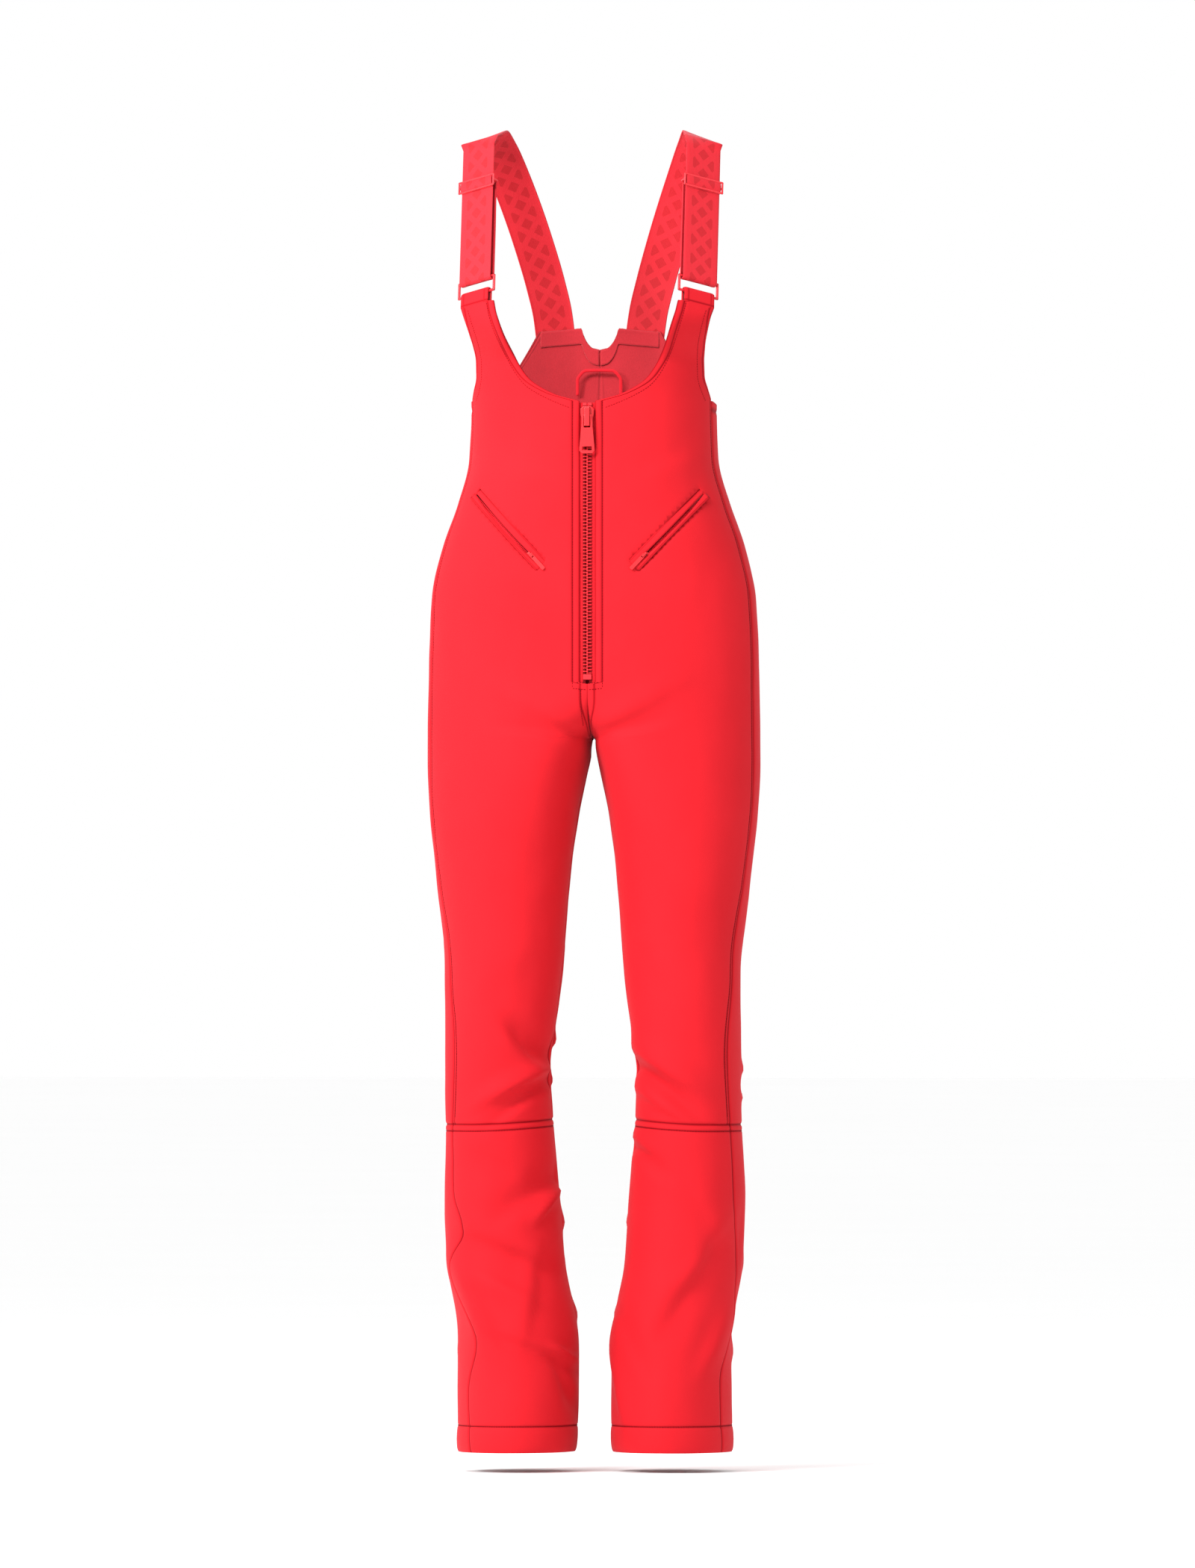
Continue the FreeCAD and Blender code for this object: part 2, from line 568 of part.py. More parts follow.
def pocket_slider():
    """Two plates joined by a post, and an eye that stands out between the lips."""
    half = 4.6
    parts = [box(-half, half, -3.3, 3.3, -3.1, -2.2), box(-half, half, -3.3, 3.3, -6.2, -5.2),
             box(-2.6, 2.6, -0.9, 0.9, -5.4, -3.0)]
    eye = box(-3.2, 3.2, -1.1, 1.1, -2.3, 3.6)
    eye = eye.makeFillet(1.0, [e for e in eye.Edges if e.BoundBox.ZMin > 3.5 and e.BoundBox.XLength < 0.01])
    eye = eye.cut(box(-1.7, 1.7, -2, 2, 0.6, 2.6))
    made = parts[0]
    for p in [*parts[1:], eye]:
        made = made.fuse(p)
    tangent, out = pocket_axes(POCKET_REST)
    return placed(made.removeSplitter(), pocket_point(POCKET_REST, 0), tangent, out.cross(tangent), out)


def pocket_pull():
    """A slim tab that hangs from the slider's eye towards the lower end."""
    long, half, thick = 22.0, 2.1, 0.7
    stem = box(-long, 0, -half, half, -thick, thick)
    stem = stem.makeFillet(1.2, [e for e in stem.Edges if e.BoundBox.ZLength > thick and e.BoundBox.XMax < 1 - long])
    stem = stem.cut(box(-4.2, 1, -1.35, 1.35, -2, 2))
    made = stem.fuse(Part.makeCylinder(thick, 2 * half, Vector(0, -half, 0), Vector(0, 1, 0))).removeSplitter()
    tangent, out = pocket_axes(POCKET_REST)
    at = pocket_point(POCKET_REST, -1.6)
    return placed(made, at, tangent, out.cross(tangent), out)


def pocket_bag():
    rows = []
    for z, x0, x1 in ((905, 62, 132), (925, 55, 140), (960, 52, 146), (1000, 60, 146), (1040, 92, 140)):
        rows.append(((u_at(x0, z), z), (u_at(x1, z), z)))
    return cloth(rows, depth=BAG_DEPTH, thick=1.2, points=7)


# ---- braces ---------------------------------------------------------------------------------------------------
def brace_local(shape, at):
    """Local x runs across the webbing, y up it and z outwards."""
    return placed(shape, at, ACROSS, UP, OUT)


def bar_frame(half, low, high, thick, edge):
    """A rectangular frame in local axes, round-edged."""
    outer = box(-half - edge, half + edge, low - edge, high + edge, -thick / 2, thick / 2)
    outer = outer.makeFillet(edge * 0.9, [e for e in outer.Edges if e.BoundBox.ZLength > thick * 0.9])
    frame = outer.cut(box(-half, half, low, high, -thick, thick))
    return frame.makeFillet(thick * 0.3, [e for e in frame.Edges if e.BoundBox.ZLength < 1e-3])


def strap_ring():
    """A rectangular ring whose bars are centred on the two points that the webbing and the bib loop wrap."""
    frame = bar_frame(WEB_WIDE / 2 + 1.0, BAR_R, RING_SPAN - BAR_R, 2 * BAR_R, 2 * BAR_R)
    return brace_local(frame, LOOP_AT)


def wrap(width, legs, inner, thick, sign):
    """Cloth round a bar along local x: two legs running from the bar, front leg first, joined by a half round."""
    outer = inner + thick
    ring = Part.makeCylinder(outer, width, Vector(-width / 2, 0, 0), Vector(1, 0, 0))
    ring = ring.cut(Part.makeCylinder(inner, width + 2, Vector(-width / 2 - 1, 0, 0), Vector(1, 0, 0)))
    half = box(-width, width, 0, 20, -20, 20) if sign < 0 else box(-width, width, -20, 0, -20, 20)
    made = ring.common(half)
    front, back = legs
    for leg, z0 in ((front, inner), (back, -outer)):
        if leg:
            a, b = sorted((0.0, sign * leg))
            made = made.fuse(box(-width / 2, width / 2, a, b, z0, z0 + thick))
    return made.removeSplitter()


def bib_loop():
    """The top of the bib's arm, folded round the ring's lower bar and sewn down."""
    return brace_local(wrap(BIB_LOOP_WIDE, (BIB_LOOP_LONG, BIB_LOOP_LONG), WRAP_R, CLOTH, -1), LOOP_AT)


WEB_PLANE = WRAP_R + WEB_THICK / 2      # from the bar's axis to the middle of the front layer


def web_row(at, tangent, wide_way):
    """The outer and inner edges of the webbing across its path at one point."""
    across = (wide_way - tangent * wide_way.dot(tangent)).normalize()
    out = across.cross(tangent).normalize()
    w, t = across * (WEB_WIDE / 2), out * (WEB_THICK / 2)
    return [at - w + t, at + w + t], [at - w - t, at + w - t]


def strap_webbing():
    """The brace: round the ring's upper bar, straight up the chest, over the shoulder and down to the back."""
    bend = brace_local(wrap(WEB_WIDE, (STRAIGHT_LONG, 0), WRAP_R, WEB_THICK, 1), RING_AT)
    rows = [web_row(RING_AT + UP * STRAIGHT_LONG + OUT * WEB_PLANE, UP, ACROSS)]
    start = RING_AT + UP * (STRAIGHT_LONG + 8) + OUT * WEB_PLANE
    table = [(i, *p) for i, p in enumerate([tuple(start), *BRACE_BACK])]
    last = len(table) - 1
    count = 30
    for i in range(count + 1):
        k = last * i / count
        at, nearby = Vector(*along(table, k)), Vector(*along(table, k + 0.05 if i < count else k - 0.05))
        tangent = (nearby - at if i < count else at - nearby).normalize()
        t = i / count
        way = ACROSS * (1 - smooth(t * 3)) + SHOULDER_WAY * smooth(t * 3)
        way = way * (1 - smooth((t - 0.4) * 2)) + BACK_WAY * smooth((t - 0.4) * 2)
        rows.append(web_row(at, tangent, way.normalize()))
    return bend.fuse(sheet_solid(rows)).removeSplitter()


BAR_OUT, BAR_IN = -3.2, -5.4                 # the adjuster's middle bar, behind the front layer


def strap_return():
    """The layer that comes back up behind the webbing and is sewn round the adjuster's middle bar."""
    top = ADJUSTER_ALONG
    near, far = WEB_PLANE + BAR_OUT + 0.3, WEB_PLANE + BAR_IN - 0.3
    outline_pts = [(0.4, -WRAP_R), (top - 14, far), (top + 1.7, far), (top + 1.7, near), (top - 4, near),
                   (top - 4, near + WEB_THICK), (top + 3.3, near + WEB_THICK), (top + 3.3, far - WEB_THICK),
                   (top - 14, far - WEB_THICK), (0.4, -WRAP_R - WEB_THICK)]
    pts = [Vector(-WEB_WIDE / 2, y, z) for y, z in outline_pts]
    face = Part.Face(Part.makePolygon([*pts, pts[0]]))
    return brace_local(face.extrude(Vector(WEB_WIDE, 0, 0)), RING_AT)


def strap_adjuster():
    half = WEB_WIDE / 2 + 0.9
    rails = [box(half, half + 2.2, -7.5, 7.5, BAR_IN, 3.3), box(-half - 2.2, -half, -7.5, 7.5, BAR_IN, 3.3)]
    bars = [box(-half - 1, half + 1, 5.0, 7.5, 1.3, 3.3), box(-half - 1, half + 1, -7.5, -5.0, 1.3, 3.3),
            box(-half - 1, half + 1, -1.3, 1.3, BAR_IN, BAR_OUT)]
    made = rails[0]
    for p in [rails[1], *bars]:
        made = made.fuse(p)
    made = made.removeSplitter()
    corners = [e for e in made.Edges if abs(abs(e.CenterOfMass.x) - half - 2.2) < 0.01]
    made = made.makeFillet(0.9, corners)
    return brace_local(made, RING_AT + UP * ADJUSTER_ALONG + OUT * WEB_PLANE)


# ---- inside ---------------------------------------------------------------------------------------------------
GAITER_TOP_Z, GAITER_FOOT_Z = 232.0, 62.0
CUFF = (84.0, 22.0, 47.0, 60.0)          # centre x, centre y and the two half widths of the gaiter's cuff
GAITER_IN = 4.5                          # how far the gaiter's top lies inside the leg's outer face
HANGER_Y, HANGER_Z = 81.5, 1165.0
LABEL_Y = 72.5
LABEL = (16.0, 0.4, 1092.0, 1148.0)      # half width, thickness, lower and upper edge


def gaiter_point(u, z, depth):
    """The snow gaiter: sewn to the leg at its top and drawn in to the cuff."""
    t = smooth((GAITER_TOP_Z - z) / (GAITER_TOP_Z - GAITER_FOOT_Z - 24))
    wide = skin(u, z, GAITER_IN + depth)
    turn = 2 * math.pi * u
    cuff = Vector(CUFF[0] - (CUFF[2] - depth) * math.cos(turn), CUFF[1] - (CUFF[3] - depth) * math.sin(turn), z)
    return wide * (1 - t) + cuff * t


def ring_rows(point, levels, depth0, depth1, points=61):
    rows = []
    for z in levels:
        us = [0.004 + 0.992 * i / (points - 1) for i in range(points)]
        rows.append(([point(u, z, depth0) for u in us], [point(u, z, depth1) for u in us]))
    return rows


def gaiter():
    return sheet_solid(ring_rows(gaiter_point, even_levels(86.5, GAITER_TOP_Z, 12), 0.0, 0.7))


def gaiter_cuff():
    return sheet_solid(ring_rows(gaiter_point, [GAITER_FOOT_Z, 70, 78, 86], -0.4, 1.4))


def hanger_line(half, shoulder, top, corner):
    """One edge of the hanging loop, from its left foot over the top to its right foot."""
    left = [(-half, 0), (-half, shoulder), (-half + corner, top)]
    right = [(-x, z) for x, z in reversed(left)]
    return [Vector(x, HANGER_Y, HANGER_Z + z) for x, z in (*left, *right)]


def hanger_loop():
    """A flat tape loop sewn inside the middle of the back."""
    inner = hanger_line(22.0, 16.0, 26.0, 10.0)
    outer = hanger_line(26.0, 17.5, 30.0, 12.4)
    face = Part.Face(Part.makePolygon([*inner, *reversed(outer), inner[0]]))
    return face.extrude(Vector(0, 0.9, 0))


def care_label():
    half_wide, thick, low, high = LABEL
    return box(-half_wide, half_wide, LABEL_Y, LABEL_Y + thick, low, high)


# ---- write the parts ------------------------------------------------------------------------------------------
ORIGIN = Vector(0, 20, SHOULDER_Z)


def save(name, shape):
    moved = shape.copy()
    moved.translate(ORIGIN * -1)
    moved.exportStep(f"parts/{name}.step")
    solids = moved.Solids
    fine = all(s.isValid() and s.isClosed() and s.Volume > 0 for s in solids)
    print(f"{name:24s} solids {len(solids):3d} volume {sum(s.Volume for s in solids):12.1f} {'ok' if fine else 'BAD'}",
          flush=True)


def save_pair(name, shape):
    """The wearer's left piece as modelled, and its mirror image on the right."""
    save(f"{name}_left", shape)
    save(f"{name}_right", mirrored(shape))


def main():
    os.makedirs("parts", exist_ok=True)
    front = pocket_cut(opening_cut(front_panel()))
    save_pair("front_panel", front)
    save_pair("side_panel", side_panel())
    save_pair("back_panel", back_panel())
    save_pair("shin_panel", lower_panel(lambda z: GAP_U, lambda z: seam(FRONT_SEAM, z) - GAP_U))
    save_pair("lower_side_panel", lower_panel(lambda z: seam(FRONT_SEAM, z) + GAP_U,
                                              lambda z: seam(BACK_SEAM, z) - GAP_U))
    save_pair("calf_panel", lower_panel(lambda z: seam(BACK_SEAM, z) + GAP_U, lambda z: 1 - GAP_U))
    save_pair("hem_facing", hem_facing())
    save_pair("neck_facing", neck_facing())
    save_pair("armhole_facing", armhole_facing())
    save("back_facing", back_facing())

    save_pair("zip_tape", zip_tape())
    save("zip_teeth_left", teeth_row(0.0))
    save("zip_teeth_right", mirrored(teeth_row(TOOTH_PITCH / 2)))
    save("zip_bottom_stop", bottom_stop())
    save("zip_top_stops", top_stops())
    save("zip_guard", zip_guard())
    save("zip_slider", zip_slider())
    save("zip_crown", zip_crown())
    save("zip_pull", zip_pull())

    save_pair("pocket_welts", pocket_welts())
    save_pair("pocket_tape", pocket_tape())
    save_pair("pocket_coil", pocket_coil())
    save_pair("pocket_slider", pocket_slider())
    save_pair("pocket_pull", pocket_pull())
    save_pair("pocket_bag", pocket_bag())

    save_pair("bib_loop", bib_loop())
    save_pair("strap_ring", strap_ring())
    save_pair("strap_webbing", strap_webbing())
    save_pair("strap_return", strap_return())
    save_pair("strap_adjuster", strap_adjuster())

    save_pair("gaiter", gaiter())
    save_pair("gaiter_cuff", gaiter_cuff())
    save("hanger_loop", hanger_loop())
    save("care_label", care_label())


main()
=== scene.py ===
import functools
import math

import bmesh
import bpy
from mathutils import Matrix, Vector, noise
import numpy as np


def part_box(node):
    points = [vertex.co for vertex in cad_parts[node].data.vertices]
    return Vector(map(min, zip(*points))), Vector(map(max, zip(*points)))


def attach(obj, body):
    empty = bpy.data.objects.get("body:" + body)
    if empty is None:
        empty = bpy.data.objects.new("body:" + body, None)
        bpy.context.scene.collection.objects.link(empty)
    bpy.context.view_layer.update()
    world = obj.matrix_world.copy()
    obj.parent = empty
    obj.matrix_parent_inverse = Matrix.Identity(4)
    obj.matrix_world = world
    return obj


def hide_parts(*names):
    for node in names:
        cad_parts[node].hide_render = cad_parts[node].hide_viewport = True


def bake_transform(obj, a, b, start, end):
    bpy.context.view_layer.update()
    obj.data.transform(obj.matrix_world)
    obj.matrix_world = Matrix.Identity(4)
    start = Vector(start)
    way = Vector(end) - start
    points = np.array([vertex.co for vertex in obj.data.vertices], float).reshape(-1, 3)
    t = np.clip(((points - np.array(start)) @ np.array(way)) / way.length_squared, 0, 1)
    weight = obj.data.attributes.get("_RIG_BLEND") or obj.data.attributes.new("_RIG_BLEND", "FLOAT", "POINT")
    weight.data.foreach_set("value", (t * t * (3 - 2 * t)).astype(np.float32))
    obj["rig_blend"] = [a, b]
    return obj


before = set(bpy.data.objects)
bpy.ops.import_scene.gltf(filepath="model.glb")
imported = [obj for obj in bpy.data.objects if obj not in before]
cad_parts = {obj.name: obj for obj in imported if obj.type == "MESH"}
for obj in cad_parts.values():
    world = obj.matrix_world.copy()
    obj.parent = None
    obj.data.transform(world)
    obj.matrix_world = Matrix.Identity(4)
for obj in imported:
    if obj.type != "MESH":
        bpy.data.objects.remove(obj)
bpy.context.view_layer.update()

# The pattern is drawn in millimetres, with heights measured up from the hems and x across from the centre.
# A place round one half of the body is given as u: 0 at the centre front, 0.5 at the outer side and 1 at the
# centre back. Only the wearer's left half is drawn, and side = -1 mirrors it.
MM = 0.001
HEM_HEIGHT_IN_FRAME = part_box("shin_panel_left")[0].z
ZIP_TAPE_Y = -103.5
DEPTH_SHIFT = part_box("zip_tape_left")[0].y - ZIP_TAPE_Y * MM

CLOTH = 1.7                 # thickness of the shell
CROTCH_Z = 786.0
FORK_RISE = 56.0            # height over which the two legs grow together
HIP_BLEND_Z = 650.0         # below this the outline is the leg's alone
KNEE_Z = 361.0
KNEE_RISE = 5.5             # how much higher the knee seam lies at the inside leg
HEM_BAND = 29.0             # height of the doubled hem
ZIP_FOOT_Z = 848.0
NECK_Z = 1157.0
SIDE_TOP_Z = 1158.0
BACK_SIDE_TOP_Z = 1150.0
OPENING_HALF = 8.5          # half the width of the slot that shows the zip
SEAM_STITCH = 5             # how far a row of stitches lies from the seam it follows
EDGE_STITCH = 8             # the same for a folded edge
KNEE_STITCH = 7.2

# Worn section of the body by height: half width, depth in front, depth behind, squareness of the corners.
TORSO = [
    (700, 184, 106, 112, 2.2), (870, 182, 106, 122, 2.3), (940, 179, 106, 116, 2.3),
    (1000, 166, 106, 98, 2.3), (1045, 150, 106, 87, 2.3), (1095, 137, 106, 82, 2.3),
    (1157, 135, 107, 88, 2.4), (1225, 142, 121, 98, 2.7), (1320, 149, 126, 106, 2.8),
]
# Worn section of a leg by height: inner x, outer x, front y, back y.
LEG = [
    (-10, 21, 152, -90, 114), (60, 18, 151, -82, 110), (120, 18, 151, -73, 104), (210, 33, 163, -62, 93),
    (300, 40, 166, -62, 82), (360, 45, 164, -67, 68), (415, 47, 163, -73, 61), (530, 34, 163, -82, 66),
    (620, 27, 172, -90, 76), (700, 17, 180, -96, 90), (CROTCH_Z, 2, 184, -102, 110), (900, 0, 184, -104, 118),
]
# Seams as (height, u). The seam below the knee wanders, and differently on each leg.
UPPER_SEAM = [(KNEE_Z, 0.405), (430, 0.395), (530, 0.42), (660, 0.447), (1200, 0.455)]
LOWER_SEAM = {
    1: [(-10, 0.42), (80, 0.416), (140, 0.46), (220, 0.45), (280, 0.412), (KNEE_Z, 0.405)],
    -1: [(-10, 0.372), (68, 0.395), (123, 0.356), (199, 0.425), (252, 0.366), (285, 0.396), (KNEE_Z, 0.405)],
}
BACK_SEAM = [(-10, 0.535), (300, 0.545), (700, 0.550), (1200, 0.550)]
# Cut edges as (x, height), seen from the front.
NECKLINE = [(9, 1157), (32, 1163), (62, 1179), (75, 1195), (91, 1228), (99, 1252), (102.5, 1268)]
ARMHOLE = [(134, 1160), (130, 1171), (127, 1185), (127, 1200), (129, 1216), (135, 1240), (139.5, 1256)]
BACK_INNER = [(1, 1216), (8, 1218), (14, 1224), (18, 1232), (21, 1240)]
BACK_OUTER = [(137, 1150), (118, 1164), (98, 1184), (82, 1210), (68, 1236)]

RING_AT = Vector((122, -100, 1290))     # middle of the ring's upper bar
BRACE_LEAN, BRACE_TURN = math.radians(22), math.radians(33)
RING_SPAN = 17.0            # from the ring's upper bar down to its lower one
BAR_R, BAR_SLACK = 1.5, 1.2
WRAP_R = BAR_R + BAR_SLACK
WEB_WIDE, WEB_THICK = 43.6, 1.5
ADJUSTER_ALONG = 113.0      # how far up the brace the adjuster sits
STRAIGHT_LONG = 158.0
BRACE_BACK = [(120.5, -14, 1447), (117, 18, 1449), (109, 47, 1434), (95, 74, 1398), (77, 92, 1345),
              (61, 101, 1290), (53, 101, 1256), (48.5, 98.8, 1222)]
SHOULDER_WAY = Vector((0.927, 0, -0.375))
BACK_WAY = Vector((0.965, -0.115, -0.20))

POCKET_IN, POCKET_OUT = (52.0, 977.0), (125.0, 1055.0)      # the slit's two ends

STEP = 5.0
# Distances from an edge at which a panel has a row of points, close together where seams and stitches lie.
EDGE_STEPS = [0, 0.6, 1.4, 2.6, 4.2, 5, 5.8, 7.2, 8, 8.8, 10.5, 14]


# ---- curves and the worn outline -----------------------------------------------------------------
def smooth(t):
    """Rises gently from 0 to 1 as t goes from 0 to 1."""
    t = max(0.0, min(1.0, t))
    return t * t * (3 - 2 * t)


def along(table, z):
    """Every column of a table at height z, by a smooth cubic through its rows that never overshoots them."""
    z = max(table[0][0], min(table[-1][0], z))
    k = 0
    while k < len(table) - 2 and table[k + 1][0] <= z:
        k += 1
    h = table[k + 1][0] - table[k][0]
    t = (z - table[k][0]) / h
    found = []
    for c in range(1, len(table[0])):
        p0, p1 = table[k][c], table[k + 1][c]
        step = (p1 - p0) / h
        before = (p0 - table[k - 1][c]) / (table[k][0] - table[k - 1][0]) if k else step
        after = (table[k + 2][c] - p1) / (table[k + 2][0] - table[k + 1][0]) if k + 2 < len(table) else step
        m0 = 0.0 if before * step <= 0 else 2 * before * step / (before + step)
        m1 = 0.0 if after * step <= 0 else 2 * after * step / (after + step)
        found.append(p0 * (1 + 2 * t) * (1 - t) ** 2 + m0 * h * t * (1 - t) ** 2
                     + p1 * t * t * (3 - 2 * t) + m1 * h * t * t * (t - 1))
    return found


def brace_frame():
    """The brace's own directions: across it, up along it, and outwards from its face."""
    up = Vector((0, math.sin(BRACE_LEAN), math.cos(BRACE_LEAN)))
    turn = math.tan(BRACE_TURN)
    across = Vector((1, turn, -turn * up.y / up.z)).normalized()
    return across, up, across.cross(up).normalized()


ACROSS, UP, OUT = brace_frame()
LOOP_AT = RING_AT - UP * RING_SPAN
FLAT_FROM_Z, FLAT_RISE = 1200, 56


@functools.lru_cache(maxsize=None)
def torso_at(z):
    return along(TORSO, z)


@functools.lru_cache(maxsize=None)
def leg_at(z):
    return along(LEG, z)


def torso_point(u, z):
    """x and y of the body's outline; below the rings its front flattens into the plane of the brace."""
    half, front, back, n = torso_at(z)
    x = half * math.sin(math.pi * u) ** 2
    depth = max(0.0, 1 - (x / half) ** n) ** (1 / n)
    y = -front * depth if u < 0.5 else back * depth
    if z > FLAT_FROM_Z and u < 0.5:
        on = LOOP_AT + OUT * (WRAP_R + CLOTH)
        flat = on.y - (OUT.x * (x - on.x) + OUT.z * (z - on.z)) / OUT.y
        y += (flat - y) * smooth((z - FLAT_FROM_Z) / FLAT_RISE)
    return x, y


def leg_point(u, z):
    inner, outer, front, back = leg_at(z)
    turn = 2 * math.pi * u
    x = (inner + outer) / 2 - (outer - inner) / 2 * math.cos(turn)
    y = (front + back) / 2 - (back - front) / 2 * math.sin(turn)
    return x, y


def outline(u, z):
    """A point of the smooth outline, with the leg growing into the body above the crotch."""
    rise = max(0.0, min(1.0, (z - CROTCH_Z) / FORK_RISE))
    fork = math.sqrt(1 - (1 - rise) ** 2)
    hip = smooth((z - HIP_BLEND_Z) / (CROTCH_Z + FORK_RISE - HIP_BLEND_Z))
    soft = max(fork, smooth((z - CROTCH_Z + 45) / (FORK_RISE + 45)))
    from_centre = min(u, 1 - u)
    fork += (soft - fork) * smooth(from_centre / 0.07)
    w = fork + (hip - fork) * smooth(from_centre / 0.22)
    lx, ly = leg_point(u, z)
    if w == 0:
        return Vector((lx, ly, z))
    tx, ty = torso_point(u, z)
    return Vector((lx + (tx - lx) * w, ly + (ty - ly) * w, z))


def outward(u, z):
    """The direction in which the outline faces."""
    du = outline(min(u + 0.004, 0.9999), z) - outline(max(u - 0.004, 0.0001), z)
    dz = outline(u, z + 3) - outline(u, z - 3)
    if abs(z - CROTCH_Z) < 12 and min(u, 1 - u) < 0.1:
        dz = Vector((0, 0, 1))
    return du.cross(dz).normalized()


def skin(u, z, lift=0.0):
    """A point that stands off the outline; above the crotch the two halves meet on the centre line."""
    p = outline(u, z) + outward(u, z) * lift
    if z >= CROTCH_Z:
        p.x = 0.0 if min(u, 1 - u) < 0.0005 else max(0.0, p.x)
    p.z += KNEE_RISE * math.exp(-((z - KNEE_Z) / 45) ** 2) * (1 - smooth(min(u, 1 - u) / 0.32))
    return p


def u_at(x, z):
    """The place on the front half of the torso that lies at x."""
    half = torso_at(z)[0]
    return math.asin(math.sqrt(max(0.0, min(1.0, x / half)))) / math.pi


def u_back(x, z):
    """The place on the back half of the torso that lies at x."""
    return 1 - u_at(x, z)


def place(p, side=1):
    """A point of the pattern, in millimetres, as a point of the model; side is 1 for the wearer's left."""
    return Vector((side * p.x * MM, p.y * MM + DEPTH_SHIFT, p.z * MM + HEM_HEIGHT_IN_FRAME))


def unplace(co, side):
    """The pattern point, in millimetres on the left half, of a point of the model."""
    return Vector((side * co.x / MM, (co.y - DEPTH_SHIFT) / MM, (co.z - HEM_HEIGHT_IN_FRAME) / MM))


# ---- folds ---------------------------------------------------------------------------------------
# Each fold runs between two points seen from the front, as (x, height), with its width and how far it stands
# out. One that stands out by less than nothing is a hollow.
LEG_FOLDS = {
    1: [((52, 445), (118, 405), 20, 3.4), ((47, 424), (110, 378), 13, -3.6), ((50, 398), (96, 372), 11, 2.0),
        ((44, 332), (80, 306), 12, -2.6), ((40, 345), (66, 330), 9, 1.6), ((150, 236), (84, 136), 26, -4.4),
        ((128, 214), (104, 186), 22, 2.6), ((150, 160), (126, 96), 15, 3.2), ((30, 150), (60, 92), 15, -1.8),
        ((20, 118), (36, 40), 12, 2.2), ((70, 560), (140, 500), 45, 1.6), ((120, 300), (150, 230), 20, 1.6)],
    -1: [((48, 428), (88, 470), 17, -4.2), ((46, 424), (116, 388), 13, 3.6),
         ((44, 410), (104, 366), 12, -2.4),
         ((40, 288), (60, 258), 8, 3.4), ((42, 300), (98, 262), 20, -3.6), ((140, 236), (56, 202), 22, -4.6),
         ((146, 210), (112, 128), 18, 4.0), ((130, 200), (70, 168), 15, 2.4), ((62, 214), (74, 132), 16, 2.2),
         ((100, 126), (20, 96), 13, -2.6), ((40, 116), (16, 97), 7, 3.0), ((34, 92), (20, 50), 8, -2.2),
         ((70, 560), (140, 505), 45, 1.6), ((130, 330), (80, 300), 22, -2.2)],
}
BODY_FOLDS = {
    1: [((20, 805), (90, 842), 18, 1.8), ((14, 790), (80, 806), 13, -1.8),
        ((112, 1090), (60, 1070), 22, 1.0)],
    -1: [((20, 806), (92, 838), 18, 1.8), ((14, 790), (84, 800), 13, -2.0),
         ((112, 1088), (58, 1072), 22, 1.0)],
}
# Folds of the back, drawn the same way as seen through the leg from the front.
BACK_FOLDS = [
    ((50, 452), (150, 424), 13, 4.0), ((50, 428), (150, 404), 10, -3.6), ((56, 406), (148, 392), 10, 3.2),
    ((40, 252), (140, 214), 18, 3.2), ((40, 222), (140, 176), 15, -3.2), ((30, 150), (140, 112), 20, 3.4),
    ((24, 770), (120, 742), 13, -3.2), ((24, 792), (120, 770), 11, 2.6), ((50, 620), (140, 580), 30, 1.6),
]
FOLD_GAIN = 2.7
FOLD_STEEP, FOLD_SLACK = 0.5, 0.95      # width of a fold's two flanks, as shares of its own width
THIGH_Z, KNEE_SLACK_Z = 640, 560


def fold_height(fold, x, z):
    """How far one fold lifts the cloth at a point seen from the front."""
    (x0, z0), (x1, z1), width, height = fold
    dx, dz = x1 - x0, z1 - z0
    size = math.hypot(dx, dz)
    s = ((x - x0) * dx + (z - z0) * dz) / size
    d = ((x - x0) * dz - (z - z0) * dx) / size
    if abs(d) > 3.2 * width or s < -0.5 * size or s > 1.5 * size:
        return 0.0
    fade = smooth((s + 0.45 * size) / (0.8 * size)) * smooth((1.45 * size - s) / (0.8 * size))
    # One flank is steeper than the other, as in a fold that cloth falls into.
    width *= FOLD_STEEP if d > 0 else FOLD_SLACK
    ridge = math.exp(-(d / width) ** 2) - 0.3 * math.exp(-(d / (2.0 * width)) ** 2)
    return FOLD_GAIN * height * ridge * fade


def cloth_lift(u, z, side):
    """How far the cloth stands off its smooth outline, from folds and from the way it hangs."""
    p = outline(u, z)
    folds = BACK_FOLDS
    if u < 0.5:
        folds = LEG_FOLDS[side] if z < THIGH_Z else BODY_FOLDS[side]
    lift = sum(fold_height(fold, p.x, z) for fold in folds)
    # Front and back folds both die out at the inseam and on the outer side, so the two halves agree there.
    lift *= smooth(abs(u - 0.5) / 0.04) * smooth(min(u, 1 - u) / 0.03)
    drape = noise.noise(Vector((p.x * side * 0.016, p.y * 0.016, z * 0.010)))
    small = noise.noise(Vector((p.x * side * 0.045, p.y * 0.045 + 7, z * 0.028)))
    slack = 1.9 if z < KNEE_SLACK_Z else 0.9
    return lift + slack * drape + 0.45 * small


# ---- sheets --------------------------------------------------------------------------------------
def numbered(points):
    """Points as a table for along(), each with its own number in front."""
    return [(i, *point) for i, point in enumerate(points)]


def even_levels(z0, z1, step):
    """Values from z0 to z1 in even steps of about the given size."""
    count = max(1, round((z1 - z0) / step))
    return [z0 + (z1 - z0) * i / count for i in range(count + 1)]


